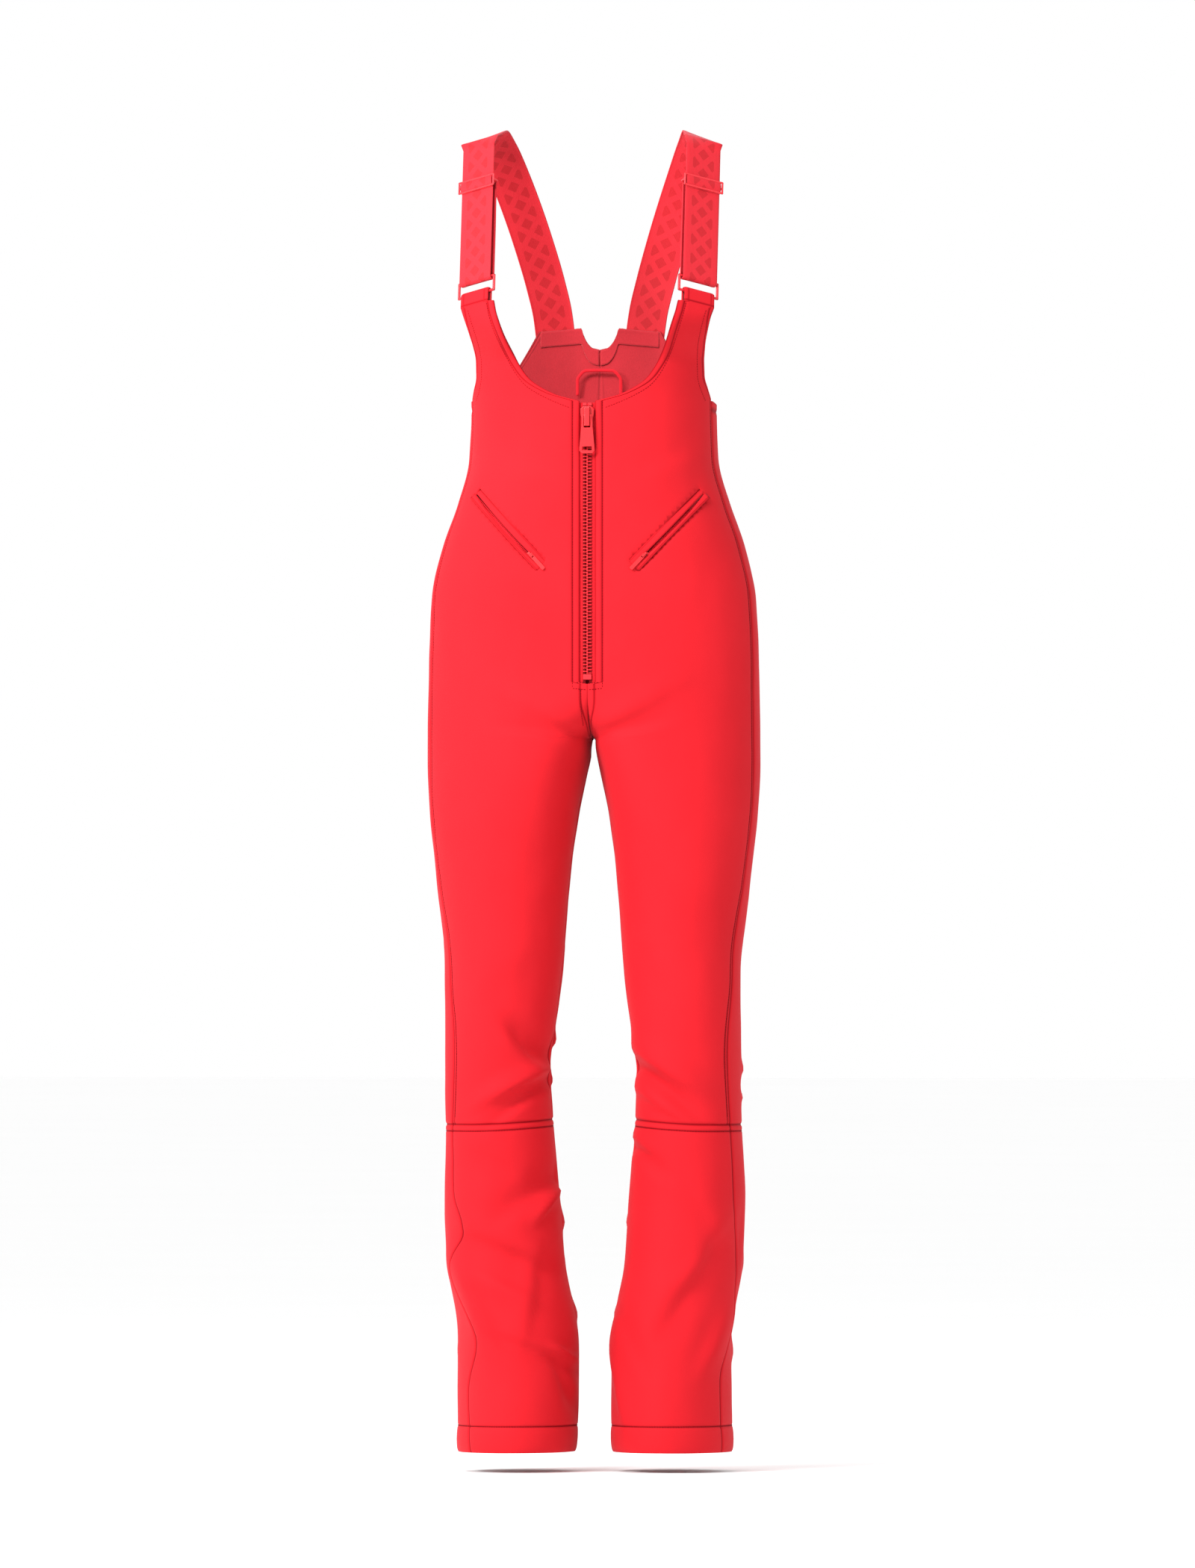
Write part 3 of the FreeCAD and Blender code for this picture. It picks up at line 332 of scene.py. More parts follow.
def edge_levels(z0, z1):
    """Heights from z0 to z1, close together near both ends."""
    low = [z0 + d for d in EDGE_STEPS]
    high = [z1 - d for d in reversed(EDGE_STEPS)]
    return low[:-1] + even_levels(low[-1], high[0], STEP) + high[1:]


def edge_rows(inner, outer, to_u, first_inner, first_outer, step):
    """Rows between two edges given as tables of (x, z); the very first ends are given as (u, z)."""
    tables = [numbered(inner), numbered(outer)]
    last = min(len(inner), len(outer)) - 1
    rows = []
    count = int(last / step)
    for i in range(count + 1):
        k = last * i / count
        ends = []
        for table, first in zip(tables, (first_inner, first_outer)):
            x, z = along(table, k)
            mix = min(1.0, k)
            ends.append((first[0] * (1 - mix) + to_u(x, z) * mix, first[1] * (1 - mix) + z * mix))
        rows.append(tuple(ends))
    return rows


def groove(distance, width):
    """1 on a line, falling to nothing a few widths away from it."""
    return math.exp(-(distance / width) ** 2)


def new_piece(name, bm, side=1):
    """Makes an object of a mesh drawn on the left side, or of its mirror image."""
    if side < 0:
        bmesh.ops.reverse_faces(bm, faces=bm.faces)
    mesh = bpy.data.meshes.new(name)
    bm.to_mesh(mesh)
    bm.free()
    piece = bpy.data.objects.new(name, mesh)
    bpy.context.scene.collection.objects.link(piece)
    mesh.shade_smooth()
    return piece


def add_mesh(whole, bm, turned):
    """Adds a mesh to another one, with its faces turned over if it was drawn inside out."""
    if turned:
        bmesh.ops.reverse_faces(bm, faces=bm.faces)
    part = bpy.data.meshes.new("part")
    bm.to_mesh(part)
    bm.free()
    whole.from_mesh(part)
    bpy.data.meshes.remove(part)


def grid_mesh(columns, rows):
    """A flat grid; every point is listed with its column and row."""
    bm = bmesh.new()
    bm.verts.layers.float.new("painted_groove_shade")
    bm.loops.layers.uv.new("UVMap")
    bmesh.ops.create_grid(bm, x_segments=columns - 1, y_segments=rows - 1, size=1.0)
    listed = []
    for v in bm.verts:
        i = round((v.co.x + 1) / 2 * (columns - 1))
        j = round((v.co.y + 1) / 2 * (rows - 1))
        listed.append((v, i, j))
    return bm, listed


def distances_across(width, middle):
    """Distances from a row's start to its points, close together near both ends, even between them."""
    shrink = min(1.0, width / (2.6 * EDGE_STEPS[-1]))
    near = [d * shrink for d in EDGE_STEPS]
    far = [width - d for d in reversed(near)]
    between = [near[-1] + (far[0] - near[-1]) * k / middle for k in range(1, middle)]
    return near + between + far


WALK_STEPS = 24


def walked_through(points):
    """The distance walked to each point of a path."""
    walked = [0.0]
    for a, b in zip(points, points[1:]):
        walked.append(walked[-1] + (b - a).length)
    return walked


def walk_along(row):
    """Distances walked along a row, at even steps of u and z from its one end to the other."""
    (u0, z0), (u1, z1) = row
    shares = [k / WALK_STEPS for k in range(WALK_STEPS + 1)]
    return walked_through([outline(u0 + (u1 - u0) * t, z0 + (z1 - z0) * t) for t in shares])


def share_at(walked, distance):
    """The share of a row that lies before a given distance."""
    k = 0
    while k < WALK_STEPS - 1 and walked[k + 1] < distance:
        k += 1
    return (k + (distance - walked[k]) / max(walked[k + 1] - walked[k], 1e-6)) / WALK_STEPS


# A sewn line draws the cloth in and paints shade on it: how deep and over what width, how dark and over what
# width.
SEAM = (1.3, 1.9, 1.0, 1.2)
CENTRE_SEAM = (0.35, 1.2, 0.75, 0.55)
STITCH_LINE = (0.8, 1.1, 1.0, 1.0)


def sewn_lines(from_edges, seams, centre_seams, stitches):
    """How deep the sewn lines draw the cloth in at a point, and how much painted shade they put on it."""
    lines = []
    for edge, distance in from_edges.items():
        if edge in seams:
            lines.append((CENTRE_SEAM if edge in centre_seams else SEAM, distance))
        if edge in stitches:
            lines.append((STITCH_LINE, distance - stitches[edge]))
    depth = sum(deep * groove(distance, wide) for (deep, wide, _, _), distance in lines)
    mark = sum(dark * groove(distance, wide) for (_, _, dark, wide), distance in lines)
    return depth, min(1.0, mark)


def cloth_panel(name, rows, side, seams, stitches, middle=None, lift=cloth_lift, extra=()):
    """A panel of the shell, sewn along some of its edges: start, end, low and high.

    rows are pairs of (u, z) ends. seams names the edges that have a seam, and stitches says how far from an
    edge its row of stitches runs. extra holds a function for each further row, which gives points and painted
    groove shade.
    """
    if middle is None:
        start, end = rows[len(rows) // 2]
        chord = (outline(*end) - outline(*start)).length
        middle = max(2, round(chord * 1.15 / STEP))
    walks = [walk_along(row) for row in rows]
    across = [distances_across(walked[-1], middle) for walked in walks]
    climbed = walked_through([outline((u0 + u1) / 2, (z0 + z1) / 2) for (u0, z0), (u1, z1) in rows])
    bm, listed = grid_mesh(len(across[0]), len(rows) + len(extra))
    painted_groove_shade = bm.verts.layers.float["painted_groove_shade"]
    for v, i, j in listed:
        if j >= len(rows):
            p, mark = extra[j - len(rows)](across[-1][i] / walks[-1][-1])
            v.co = place(p, side)
            v[painted_groove_shade] = mark
            continue
        (u0, z0), (u1, z1) = rows[j]
        walked, distance = walks[j], across[j][i]
        t = share_at(walked, distance)
        u, z = u0 + (u1 - u0) * t, z0 + (z1 - z0) * t
        from_edges = {"start": distance, "end": walked[-1] - distance,
                      "low": climbed[j], "high": climbed[-1] - climbed[j]}
        at_centre = {"start": z0 > CROTCH_Z and u0 == 0, "end": z0 > CROTCH_Z and u1 == 1}
        centre_seams = [edge for edge, meets in at_centre.items() if meets]
        # mark is the painted shade that falls along the seams and stitch rows.
        depth, mark = sewn_lines(from_edges, seams, centre_seams, stitches)
        v.co = place(skin(u, z, lift(u, z, side) - depth), side)
        v[painted_groove_shade] = mark
    return new_piece(name, bm, side)


def give_thickness(piece, thick=CLOTH, inner_slot=1):
    """A Solidify that grows the sheet inwards; its inside takes the second material."""
    wall = piece.modifiers.new("thickness", "SOLIDIFY")
    wall.thickness = thick * MM
    wall.offset = -1
    wall.use_even_offset = False
    wall.material_offset = inner_slot
    return wall


# ---- materials -----------------------------------------------------------------------------------
class Finish:
    """A material as it is put together, with short ways to add its nodes."""

    def __init__(self, name, on_uv=False):
        self.material = bpy.data.materials.new(name)
        self.material.use_nodes = True
        self.nodes = self.material.node_tree.nodes
        self.shader = self.nodes["Principled BSDF"]
        self.at = self.node("UVMap", "UV") if on_uv else self.node("TexCoord", "Object")

    def fill(self, socket, value):
        """Links a socket to another one, or gives it a plain value or colour."""
        if isinstance(value, bpy.types.NodeSocket):
            self.material.node_tree.links.new(value, socket)
        elif socket.type == "RGBA":
            socket.default_value = (*value, 1)
        else:
            socket.default_value = value

    def node(self, kind, output, inputs=(), **settings):
        """Adds a node and hands back one of its outputs."""
        made = self.nodes.new("ShaderNode" + kind)
        for key, value in settings.items():
            setattr(made, key, value)
        for key, value in dict(inputs).items():
            self.fill(made.inputs[key], value)
        return made.outputs[output]

    def noise(self, scale, detail, stretch=(1, 1, 1)):
        at = self.at
        if stretch != (1, 1, 1):
            at = self.node("Mapping", "Vector", {"Vector": at, "Scale": stretch})
        return self.node("TexNoise", "Fac", {"Vector": at, "Scale": scale, "Detail": detail})

    def wave(self, scale, direction, distortion, detail=2.0):
        inputs = {"Vector": self.at, "Scale": scale, "Distortion": distortion, "Detail": detail}
        return self.node("TexWave", "Fac", inputs, bands_direction=direction)

    def maths(self, a, b, operation="MULTIPLY"):
        return self.node("Math", 0, {0: a, 1: b}, operation=operation)

    def added(self, a, share_of_a, b, share_of_b):
        """Two patterns added, each in its own share."""
        return self.maths(self.maths(a, share_of_a), self.maths(b, share_of_b), "ADD")

    def mix(self, a, b, share, blend="MIX"):
        """Two colours blended, by the share of the second."""
        inputs = {"A": a, "B": b, "Factor": share}
        return self.node("Mix", "Result", inputs, data_type="RGBA", blend_type=blend)

    def between(self, value, low, high, start=0.0, end=1.0):
        """Low where the value is at start, high where it is at end, and even between them."""
        inputs = {"Value": value, "From Min": start, "From Max": end, "To Min": low, "To Max": high}
        return self.node("MapRange", "Result", inputs)

    def done(self, colour, roughness, height, strength, distance, others=()):
        """Connects colour, roughness and bump, sets the other sockets and hands back the material."""
        normal = self.node("Bump", "Normal", {"Strength": strength, "Distance": distance, "Height": height})
        sockets = {"Base Color": colour, "Roughness": roughness, "Normal": normal, **dict(others)}
        for key, value in sockets.items():
            self.fill(self.shader.inputs[key], value)
        return self.material


def softshell():
    """Matte stretch cloth: fine twill, faint mottling, a soft bloom, and painted shade in its sewn grooves.
    """
    cloth = Finish("softshell")
    fleck = cloth.noise(900.0, 2.0)
    twill = cloth.wave(420.0, "DIAGONAL", 1.2, 1.0)
    mottled = cloth.mix((0.49, 0.0090, 0.0150), (0.56, 0.0130, 0.0200), cloth.noise(9.0, 3.0))
    dusted = cloth.mix(mottled, cloth.mix((0.80, 0.74, 0.74), (1, 1, 1), fleck), 0.35, "MULTIPLY")
    # Painted shade: where the sewn grooves and stitch rows would lie in shadow, the cloth is darkened towards
    # this dark red.
    painted_groove_shade = cloth.node("Attribute", "Fac", attribute_name="painted_groove_shade")
    colour = cloth.mix(dusted, (0.22, 0.0003, 0.0035), painted_groove_shade)
    height = cloth.maths(cloth.maths(twill, 0.6), fleck, "ADD")
    return cloth.done(colour, cloth.between(fleck, 0.66, 0.82), height, 0.22, 0.0003, {
        "Sheen Weight": 0.07, "Sheen Roughness": 0.45, "Sheen Tint": (1.0, 0.32, 0.40),
        "Specular IOR Level": 0.06})


def brushed_inside():
    """The brushed inner face: darker, with a short uneven nap."""
    cloth = Finish("brushed inside")
    nap = cloth.noise(1300.0, 3.0, (1, 1, 0.35))
    both = cloth.added(nap, 0.6, cloth.noise(40.0, 2.0), 0.4)
    colour = cloth.mix((0.30, 0.004, 0.010), (0.52, 0.010, 0.022), both)
    return cloth.done(colour, 0.92, nap, 0.5, 0.0005, {"Sheen Weight": 0.5, "Sheen Tint": (1.0, 0.5, 0.5)})


def woven(name, low, high, scale, roughness, sheen=0.06, shade=None):
    """A plain weave of two crossing waves; shade, where there is one, changes its colour."""
    cloth = Finish(name)
    weave = cloth.maths(cloth.wave(scale, "X", 0.5), cloth.wave(scale, "Z", 0.5))
    both = cloth.added(weave, 0.6, cloth.noise(120.0, 3.0), 0.4)
    colour = cloth.mix(low, high, both)
    if shade:
        colour = shade(cloth, colour)
    return cloth.done(colour, roughness, both, 0.5, 0.0004, {
        "Sheen Weight": sheen, "Specular IOR Level": 0.15})


def darker_between_teeth(cloth, colour):
    """The main zip's tape is darker near its middle, where it lies in the teeth's shade."""
    across = cloth.node("SeparateXYZ", "X", {"Vector": cloth.at})
    shade = cloth.between(cloth.maths(across, 0.0, "ABSOLUTE"), 0.9, 0.0, 0.0046, 0.0056)
    return cloth.mix(colour, (0.11, 0.0002, 0.0012), shade)


def brace_webbing():
    """Elastic webbing with plain ribbed borders and a small tone-on-tone diamond figure between them."""
    web = Finish("brace webbing", on_uv=True)
    across, lengthwise = [web.node("SeparateXYZ", axis, {"Vector": web.at}) for axis in "XY"]
    weave = web.maths(web.wave(330.0, "Y", 0.4), web.wave(260.0, "X", 0.3))
    # Diamonds: the sum and difference of the two directions, each folded into a triangle wave.
    slopes = [web.maths(across, web.maths(lengthwise, sign), "ADD") for sign in (1, -1)]
    diamond = web.maths(*[web.maths(slope, 0.0115, "PINGPONG") for slope in slopes], "MAXIMUM")
    between_borders = web.maths(web.maths(across, 0.0, "ABSOLUTE"), 0.0135, "LESS_THAN")
    motif = web.maths(web.maths(diamond, 0.0070, "LESS_THAN"), between_borders)
    colour = web.mix((0.60, 0.0125, 0.0235), (0.47, 0.0065, 0.0135), motif)
    shaded = web.mix(colour, web.mix((0.62, 0.55, 0.55), (1, 1, 1), weave), 0.5, "MULTIPLY")
    return web.done(shaded, 0.62, web.added(weave, 0.5, motif, -0.6), 0.6, 0.0004, {
        "Sheen Weight": 0.12, "Sheen Tint": (1.0, 0.45, 0.52), "Specular IOR Level": 0.2})


def lacquered_metal(name, low, high, roughness, coat):
    """Die-cast metal under red lacquer, rubbed a little paler in patches."""
    metal = Finish(name)
    patch = metal.noise(260.0, 4.0)
    worn = metal.between(metal.noise(700.0, 2.0, (1, 1, 7)), roughness - 0.08, roughness + 0.12)
    return metal.done(metal.mix(low, high, patch), worn, patch, 0.08, 0.0002, {
        "Specular IOR Level": 0.35, "Coat Weight": coat, "Coat Roughness": 0.2})


def moulded_teeth():
    """Matt moulded plastic with a fine grain."""
    plastic = Finish("moulded teeth")
    colour = plastic.mix((0.60, 0.009, 0.016), (0.74, 0.016, 0.026), plastic.noise(180.0, 3.0))
    return plastic.done(colour, 0.48, plastic.noise(1500.0, 2.0), 0.12, 0.0001, {"Specular IOR Level": 0.3})


def sewing_thread():
    """Twisted thread, painted darker than the cloth to stand for the shade of the groove it lies in."""
    thread = Finish("sewing thread")
    twist = thread.wave(1500.0, "DIAGONAL", 1.0)
    colour = thread.mix((0.15, 0.0003, 0.003), (0.24, 0.0008, 0.006), twist)
    return thread.done(colour, 0.7, twist, 0.4, 0.0001, {"Specular IOR Level": 0.1})


def ribbed_elastic():
    """The gaiter's ribbed gripper band."""
    band = Finish("gripper elastic")
    both = band.added(band.wave(110.0, "Z", 0.3), 0.7, band.noise(500.0, 2.0), 0.3)
    return band.done(band.mix((0.16, 0.003, 0.008), (0.34, 0.008, 0.018), both), 0.75, both, 0.7, 0.0008)


def satin_label():
    """Off-white satin ribbon with nothing on it."""
    ribbon = Finish("blank satin label")
    satin = ribbon.wave(500.0, "X", 0.6)
    colour = ribbon.mix((0.74, 0.73, 0.70), (0.90, 0.90, 0.88), ribbon.maths(satin, ribbon.noise(90.0, 3.0)))
    return ribbon.done(colour, 0.4, satin, 0.3, 0.0002, {"Anisotropic": 0.4})


SHELL = softshell()
INSIDE = brushed_inside()
WEBBING = brace_webbing()
THREAD = sewing_thread()
FACING = woven("facing cloth", (0.48, 0.005, 0.014), (0.72, 0.010, 0.026), 700.0, 0.8)
POCKETING = woven("pocketing", (0.34, 0.004, 0.010), (0.50, 0.008, 0.020), 520.0, 0.85)
MAIN_TAPE = woven("main zip tape", (0.46, 0.005, 0.011), (0.60, 0.009, 0.017), 900.0, 0.8, 0.0,
                  darker_between_teeth)
# This tape is painted paler to stand in for light reaching into the narrow, shaded pocket slit; the hanging
# loop shares it.
TAPE = woven("zip tape", (0.66, 0.008, 0.018), (0.92, 0.016, 0.034), 900.0, 0.7)
RIPSTOP = woven("gaiter ripstop", (0.26, 0.004, 0.010), (0.42, 0.008, 0.018), 260.0, 0.55, 0.1)
TEETH = moulded_teeth()
LACQUER = lacquered_metal("red lacquer", (0.52, 0.006, 0.011), (0.62, 0.010, 0.016), 0.34, 0.25)
COATED_WIRE = lacquered_metal("red coated wire", (0.52, 0.008, 0.016), (0.64, 0.014, 0.024), 0.42, 0.3)
ELASTIC = ribbed_elastic()
SATIN = satin_label()


# ---- pieces --------------------------------------------------------------------------------------
def finish_piece(piece, slot_name, *materials, body="garment", replaces=(), thick=None):
    """Gives a piece its materials, wall and body; replaces names the nodes it stands for; slot_name is not
    used.
    """
    for material in materials:
        piece.data.materials.append(material)
    if thick is not None:
        give_thickness(piece, thick)
    if replaces:
        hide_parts(*replaces)
    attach(piece, body)
    return piece


def side_name(side):
    return "left" if side > 0 else "right"


def repeated(shape, places):
    """One mesh that holds the shape at every place; places are matrices."""
    one = bpy.data.meshes.new("one")
    shape.to_mesh(one)
    shape.free()
    local = [v.co.copy() for v in one.vertices]
    whole = bmesh.new()
    whole.from_mesh(one)
    doubled = bpy.data.meshes.new("doubled")
    for bit in bin(len(places))[3:]:
        whole.to_mesh(doubled)
        whole.from_mesh(doubled)
        if bit == "1":
            whole.from_mesh(one)
    for k, v in enumerate(whole.verts):
        v.co = places[k // len(local)] @ local[k % len(local)]
    bpy.data.meshes.remove(one)
    bpy.data.meshes.remove(doubled)
    return whole


# ---- stitches ------------------------------------------------------------------------------------
STITCH_PITCH, STITCH_LONG, STITCH_R = 3.0, 2.7, 0.46
PATH_SAMPLES = 400


def stitch_points(point_at, start, end):
    """Points one stitch apart along a path."""
    points = [point_at(start + (end - start) * k / PATH_SAMPLES) for k in range(PATH_SAMPLES + 1)]
    found, walked, wanted = [], 0.0, STITCH_PITCH / 2
    for a, b in zip(points, points[1:]):
        size = (b - a).length
        while size > 0 and walked + size >= wanted:
            found.append((a.lerp(b, (wanted - walked) / size), (b - a).normalized()))
            wanted += STITCH_PITCH
        walked += size
    return found


def sew(rows, side):
    """Rows of stitches as one piece of thread; each row is a path and its first and last value."""
    bead = bmesh.new()
    bmesh.ops.create_uvsphere(bead, u_segments=6, v_segments=4, radius=1.0)
    size = Matrix.Diagonal((STITCH_LONG / 2, STITCH_R, STITCH_R, 1))
    places = []
    for row in rows:
        for at, way in stitch_points(*row):
            turn = way.to_track_quat("X", "Z").to_matrix().to_4x4()
            places.append(Matrix.Translation(at) @ turn @ size)
    bm = repeated(bead, places)
    for v in bm.verts:
        v.co = place(v.co, side)
    finish_piece(new_piece(f"topstitching_{side_name(side)}", bm, side), "shell", THREAD)


def surface_path(u_of, z_of, side, proud):
    """A path on the cloth from a value to its u and height, standing a little proud of the surface."""
    def point_at(k):
        u, z = u_of(k), z_of(k)
        return skin(u, z, cloth_lift(u, z, side) + proud)
    return point_at


def line_path(points, side, proud):
    """A path on the cloth through points given as (x, z) seen from the front, rounded at its corners."""
    table = numbered(points)

    def point_at(k):
        x, z = along(table, k)
        u = u_at(x, z)
        return skin(u, z, cloth_lift(u, z, side) + proud)
    return point_at


def beside(edge, distance):
    """The points of an edge moved square to it by a distance, whose sign picks the side."""
    table = numbered(edge)
    moved = []
    for k in range(2 * (len(edge) - 1) + 1):
        (x, z), (xn, zn) = along(table, k / 2 - 0.05), along(table, k / 2 + 0.05)
        size = math.hypot(xn - x, zn - z)
        moved.append(((x + xn) / 2 + distance * (zn - z) / size, (z + zn) / 2 - distance * (xn - x) / size))
    return moved


def inset_u(u, z, distance):
    """Moves along a row by a distance in millimetres."""
    step = 0.002
    speed = (outline(min(u + step, 1), z) - outline(max(u - step, 0), z)).length / (2 * step)
    return u + distance / max(speed, 60.0)


# ---- shell panels --------------------------------------------------------------------------------
def upper_heights(top):
    """Heights of an upper panel's rows, close together at the knee seam, crotch and zip's foot."""
    fork = [CROTCH_Z + FORK_RISE * (1 - math.cos(math.radians(a))) for a in range(0, 91, 6)]
    low = [KNEE_Z + d for d in EDGE_STEPS]
    heights = low[:-1] + even_levels(low[-1], CROTCH_Z, STEP)[:-1] + fork[:-1]
    heights += [ZIP_FOOT_Z - 5, ZIP_FOOT_Z - 2, ZIP_FOOT_Z, ZIP_FOOT_Z + 1]
    return heights + even_levels(ZIP_FOOT_Z + 4, top, STEP)


LOOP_WIDE, LOOP_STITCH, LOOP_STITCH_LOW = 38.0, 14.5, -12


def loop_row(y, turn):
    """A row of the bib loop: straight up its front, round the ring's lower bar and down behind."""
    radius = WRAP_R + CLOTH

    def row(t):
        across = (t - 0.5) * LOOP_WIDE
        edge = 0.8 * (groove(t * LOOP_WIDE, 1.2) + groove((1 - t) * LOOP_WIDE, 1.2))
        if turn is None:
            at = LOOP_AT + UP * y + OUT * (radius - edge)
        elif turn == "back":
            at = LOOP_AT + UP * y - OUT * (radius - edge)
        else:
            a = math.radians(turn)
            at = LOOP_AT + (OUT * math.cos(a) + UP * math.sin(a)) * (radius - edge)
        # Painted shade along the loop's stitch rows, stored as its mark.
        mark = 0.7 * groove(abs(across) - LOOP_STITCH, 0.9)
        if turn is None:
            mark = max(mark, groove(y - LOOP_STITCH_LOW, 0.9))
        return at + ACROSS * across, mark
    return row


def front_panel(side):
    """Bib and thigh in one, slit for the hand pocket and folded round the ring at its top."""
    name = side_name(side)
    rows = []
    for z in upper_heights(1132):
        inner = 0.0 if z < ZIP_FOOT_Z else u_at(OPENING_HALF, z)
        rows.append(((inner, z), (along(UPPER_SEAM, z)[0], z)))
    first = (u_at(OPENING_HALF, NECK_Z), NECK_Z)
    rows += edge_rows(NECKLINE, ARMHOLE, u_at, first, (along(UPPER_SEAM, SIDE_TOP_Z)[0], SIDE_TOP_Z), 0.12)
    loop = [loop_row(y, None) for y in (-13.5, -12.6, -12, -11.4, -10, -7, -4, 0)]
    loop += [loop_row(0, a) for a in range(20, 180, 20)]
    loop += [loop_row(y, "back") for y in (0, -5, -10, -14.5)]
    piece = cloth_panel(f"bib_and_thigh_{name}", rows, side, ("start", "end", "low"),
                        {"start": EDGE_STITCH, "end": SEAM_STITCH}, extra=loop)
    pocket_hole(piece, side)
    finish_piece(piece, "shell", SHELL, INSIDE, thick=CLOTH,
                 replaces=(f"front_panel_{name}", f"bib_loop_{name}"))


def side_panel(side):
    """The strip down the outer side, its top edge falling a little towards the back."""
    name = side_name(side)
    rows = [((along(UPPER_SEAM, z)[0], z), (along(BACK_SEAM, z)[0], z))
            for z in edge_levels(KNEE_Z, BACK_SIDE_TOP_Z - 12)]
    start, end = along(UPPER_SEAM, BACK_SIDE_TOP_Z)[0], along(BACK_SEAM, BACK_SIDE_TOP_Z)[0]
    for k in range(1, 5):
        rows.append(((start, BACK_SIDE_TOP_Z - 12 + k * 5), (end, BACK_SIDE_TOP_Z - 12 + k * 3)))
    piece = cloth_panel(f"side_strip_{name}", rows, side, ("start", "end", "low"), {"high": EDGE_STITCH},
                        middle=4)
    finish_piece(piece, "shell", SHELL, INSIDE, thick=CLOTH, replaces=(f"side_panel_{name}",))


def back_panel(side):
    """Seat and back in one, rising to the dip between the braces."""
    name = side_name(side)
    rows = [((along(BACK_SEAM, z)[0], z), (1.0, z)) for z in upper_heights(1126)]
    rows += edge_rows(BACK_OUTER, BACK_INNER, u_back, (along(BACK_SEAM, BACK_SIDE_TOP_Z)[0], BACK_SIDE_TOP_Z),
                      (1.0, BACK_INNER[0][1]), 0.1)
    piece = cloth_panel(f"seat_and_back_{name}", rows, side, ("start", "end", "low"),
                        {"start": SEAM_STITCH, "end": SEAM_STITCH})
    finish_piece(piece, "shell", SHELL, INSIDE, thick=CLOTH, replaces=(f"back_panel_{name}",))


def lower_heights():
    """Heights of a lower panel's rows, close together at the hem and below the knee seam."""
    high = [KNEE_Z - d for d in reversed(EDGE_STEPS)]
    hem = [0, 0.7, 1.8, 4, 8, 14, 20, 24, 26.5, 28, HEM_BAND - 0.6, HEM_BAND, HEM_BAND + 0.6, 31, 34, 38]
    return hem + even_levels(hem[-1] + STEP, high[0], STEP)[:-1] + high


def hem_lift(u, z, side):
    """Below its stitch line the doubled hem stands a little fuller, and its fold is rounded."""
    lift = cloth_lift(u, z, side)
    if z < HEM_BAND:
        full = math.sin(math.pi * z / HEM_BAND)
        lift += 1.1 * full - 0.9 * math.exp(-(z / 2.0) ** 2)
    return lift - 0.9 * groove(z - HEM_BAND, 1.3)


def paint_hem_stitch_shade(piece):
    """Paints shade along the hem's stitch line."""
    layer = piece.data.attributes["painted_groove_shade"].data
    for k, v in enumerate(piece.data.vertices):
        z = (v.co.z - HEM_HEIGHT_IN_FRAME) / MM
        layer[k].value = max(layer[k].value, 0.8 * groove(z - HEM_BAND, 0.8))


def lower_panel(side, name, node, start, end):
    """A panel below the knee; start and end give the u of its two edges at a height."""
    rows = [((start(z), z), (end(z), z)) for z in lower_heights()]
    piece = cloth_panel(f"{name}_{side_name(side)}", rows, side, ("start", "end", "high"),
                        {"high": KNEE_STITCH}, lift=hem_lift)
    paint_hem_stitch_shade(piece)
    finish_piece(piece, "shell", SHELL, INSIDE, thick=CLOTH, replaces=(f"{node}_{side_name(side)}",))


def lower_leg(side):
    """Shin, lower side strip and calf."""
    def side_seam(z):
        return along(LOWER_SEAM[side], z)[0]

    def back_seam(z):
        return along(BACK_SEAM, z)[0]

    lower_panel(side, "shin", "shin_panel", lambda z: 0.0, side_seam)
    lower_panel(side, "lower_side_strip", "lower_side_panel", side_seam, back_seam)
    lower_panel(side, "calf", "calf_panel", back_seam, lambda z: 1.0)


# ---- facings -------------------------------------------------------------------------------------
FACING_DEEP, FACING_THICK, HEM_TURN_UP_THICK = CLOTH + 0.5, 0.9, 1.5
BACK_FACING_TALL = 18.0


def facing_strip(name, node, rows, sides, depth, thick, material, columns=9):
    """A plain strip that lies behind the shell at a given depth."""
    whole = bmesh.new()
    for side in sides:
        bm, listed = grid_mesh(columns, len(rows))
        for v, i, j in listed:
            (u0, z0), (u1, z1) = rows[j]
            t = i / (columns - 1)
            u, z = u0 + (u1 - u0) * t, z0 + (z1 - z0) * t
            roll = 0.35 * (groove(t * 10, 1.2) + groove((1 - t) * 10, 1.2))
            v.co = place(skin(u, z, cloth_lift(u, z, side) - depth - roll), side)
        add_mesh(whole, bm, side < 0)
    finish_piece(new_piece(name, whole), "facing", material, thick=thick, replaces=(node,))


def edge_facing_rows(edge, inset, width, side_way, finer):
    """Rows square to an edge, from a little inside it to the facing's width, on the side of side_way."""
    table = numbered(edge)
    last = len(edge) - 2
    rows = []
    for k in range(finer * last + 1):
        t = k / finer
        (x, z), (xn, zn) = along(table, t), along(table, t + 0.1)
        size = math.hypot(xn - x, zn - z)
        nx, nz = side_way * (zn - z) / size, -side_way * (xn - x) / size
        (x0, z0), (x1, z1) = (x + nx * inset, z + nz * inset), (x + nx * width, z + nz * width)
        ends = [(u_at(x0, z0), z0), (u_at(x1, z1), z1)]
        rows.append(tuple(ends if side_way > 0 else ends[::-1]))
    return rows


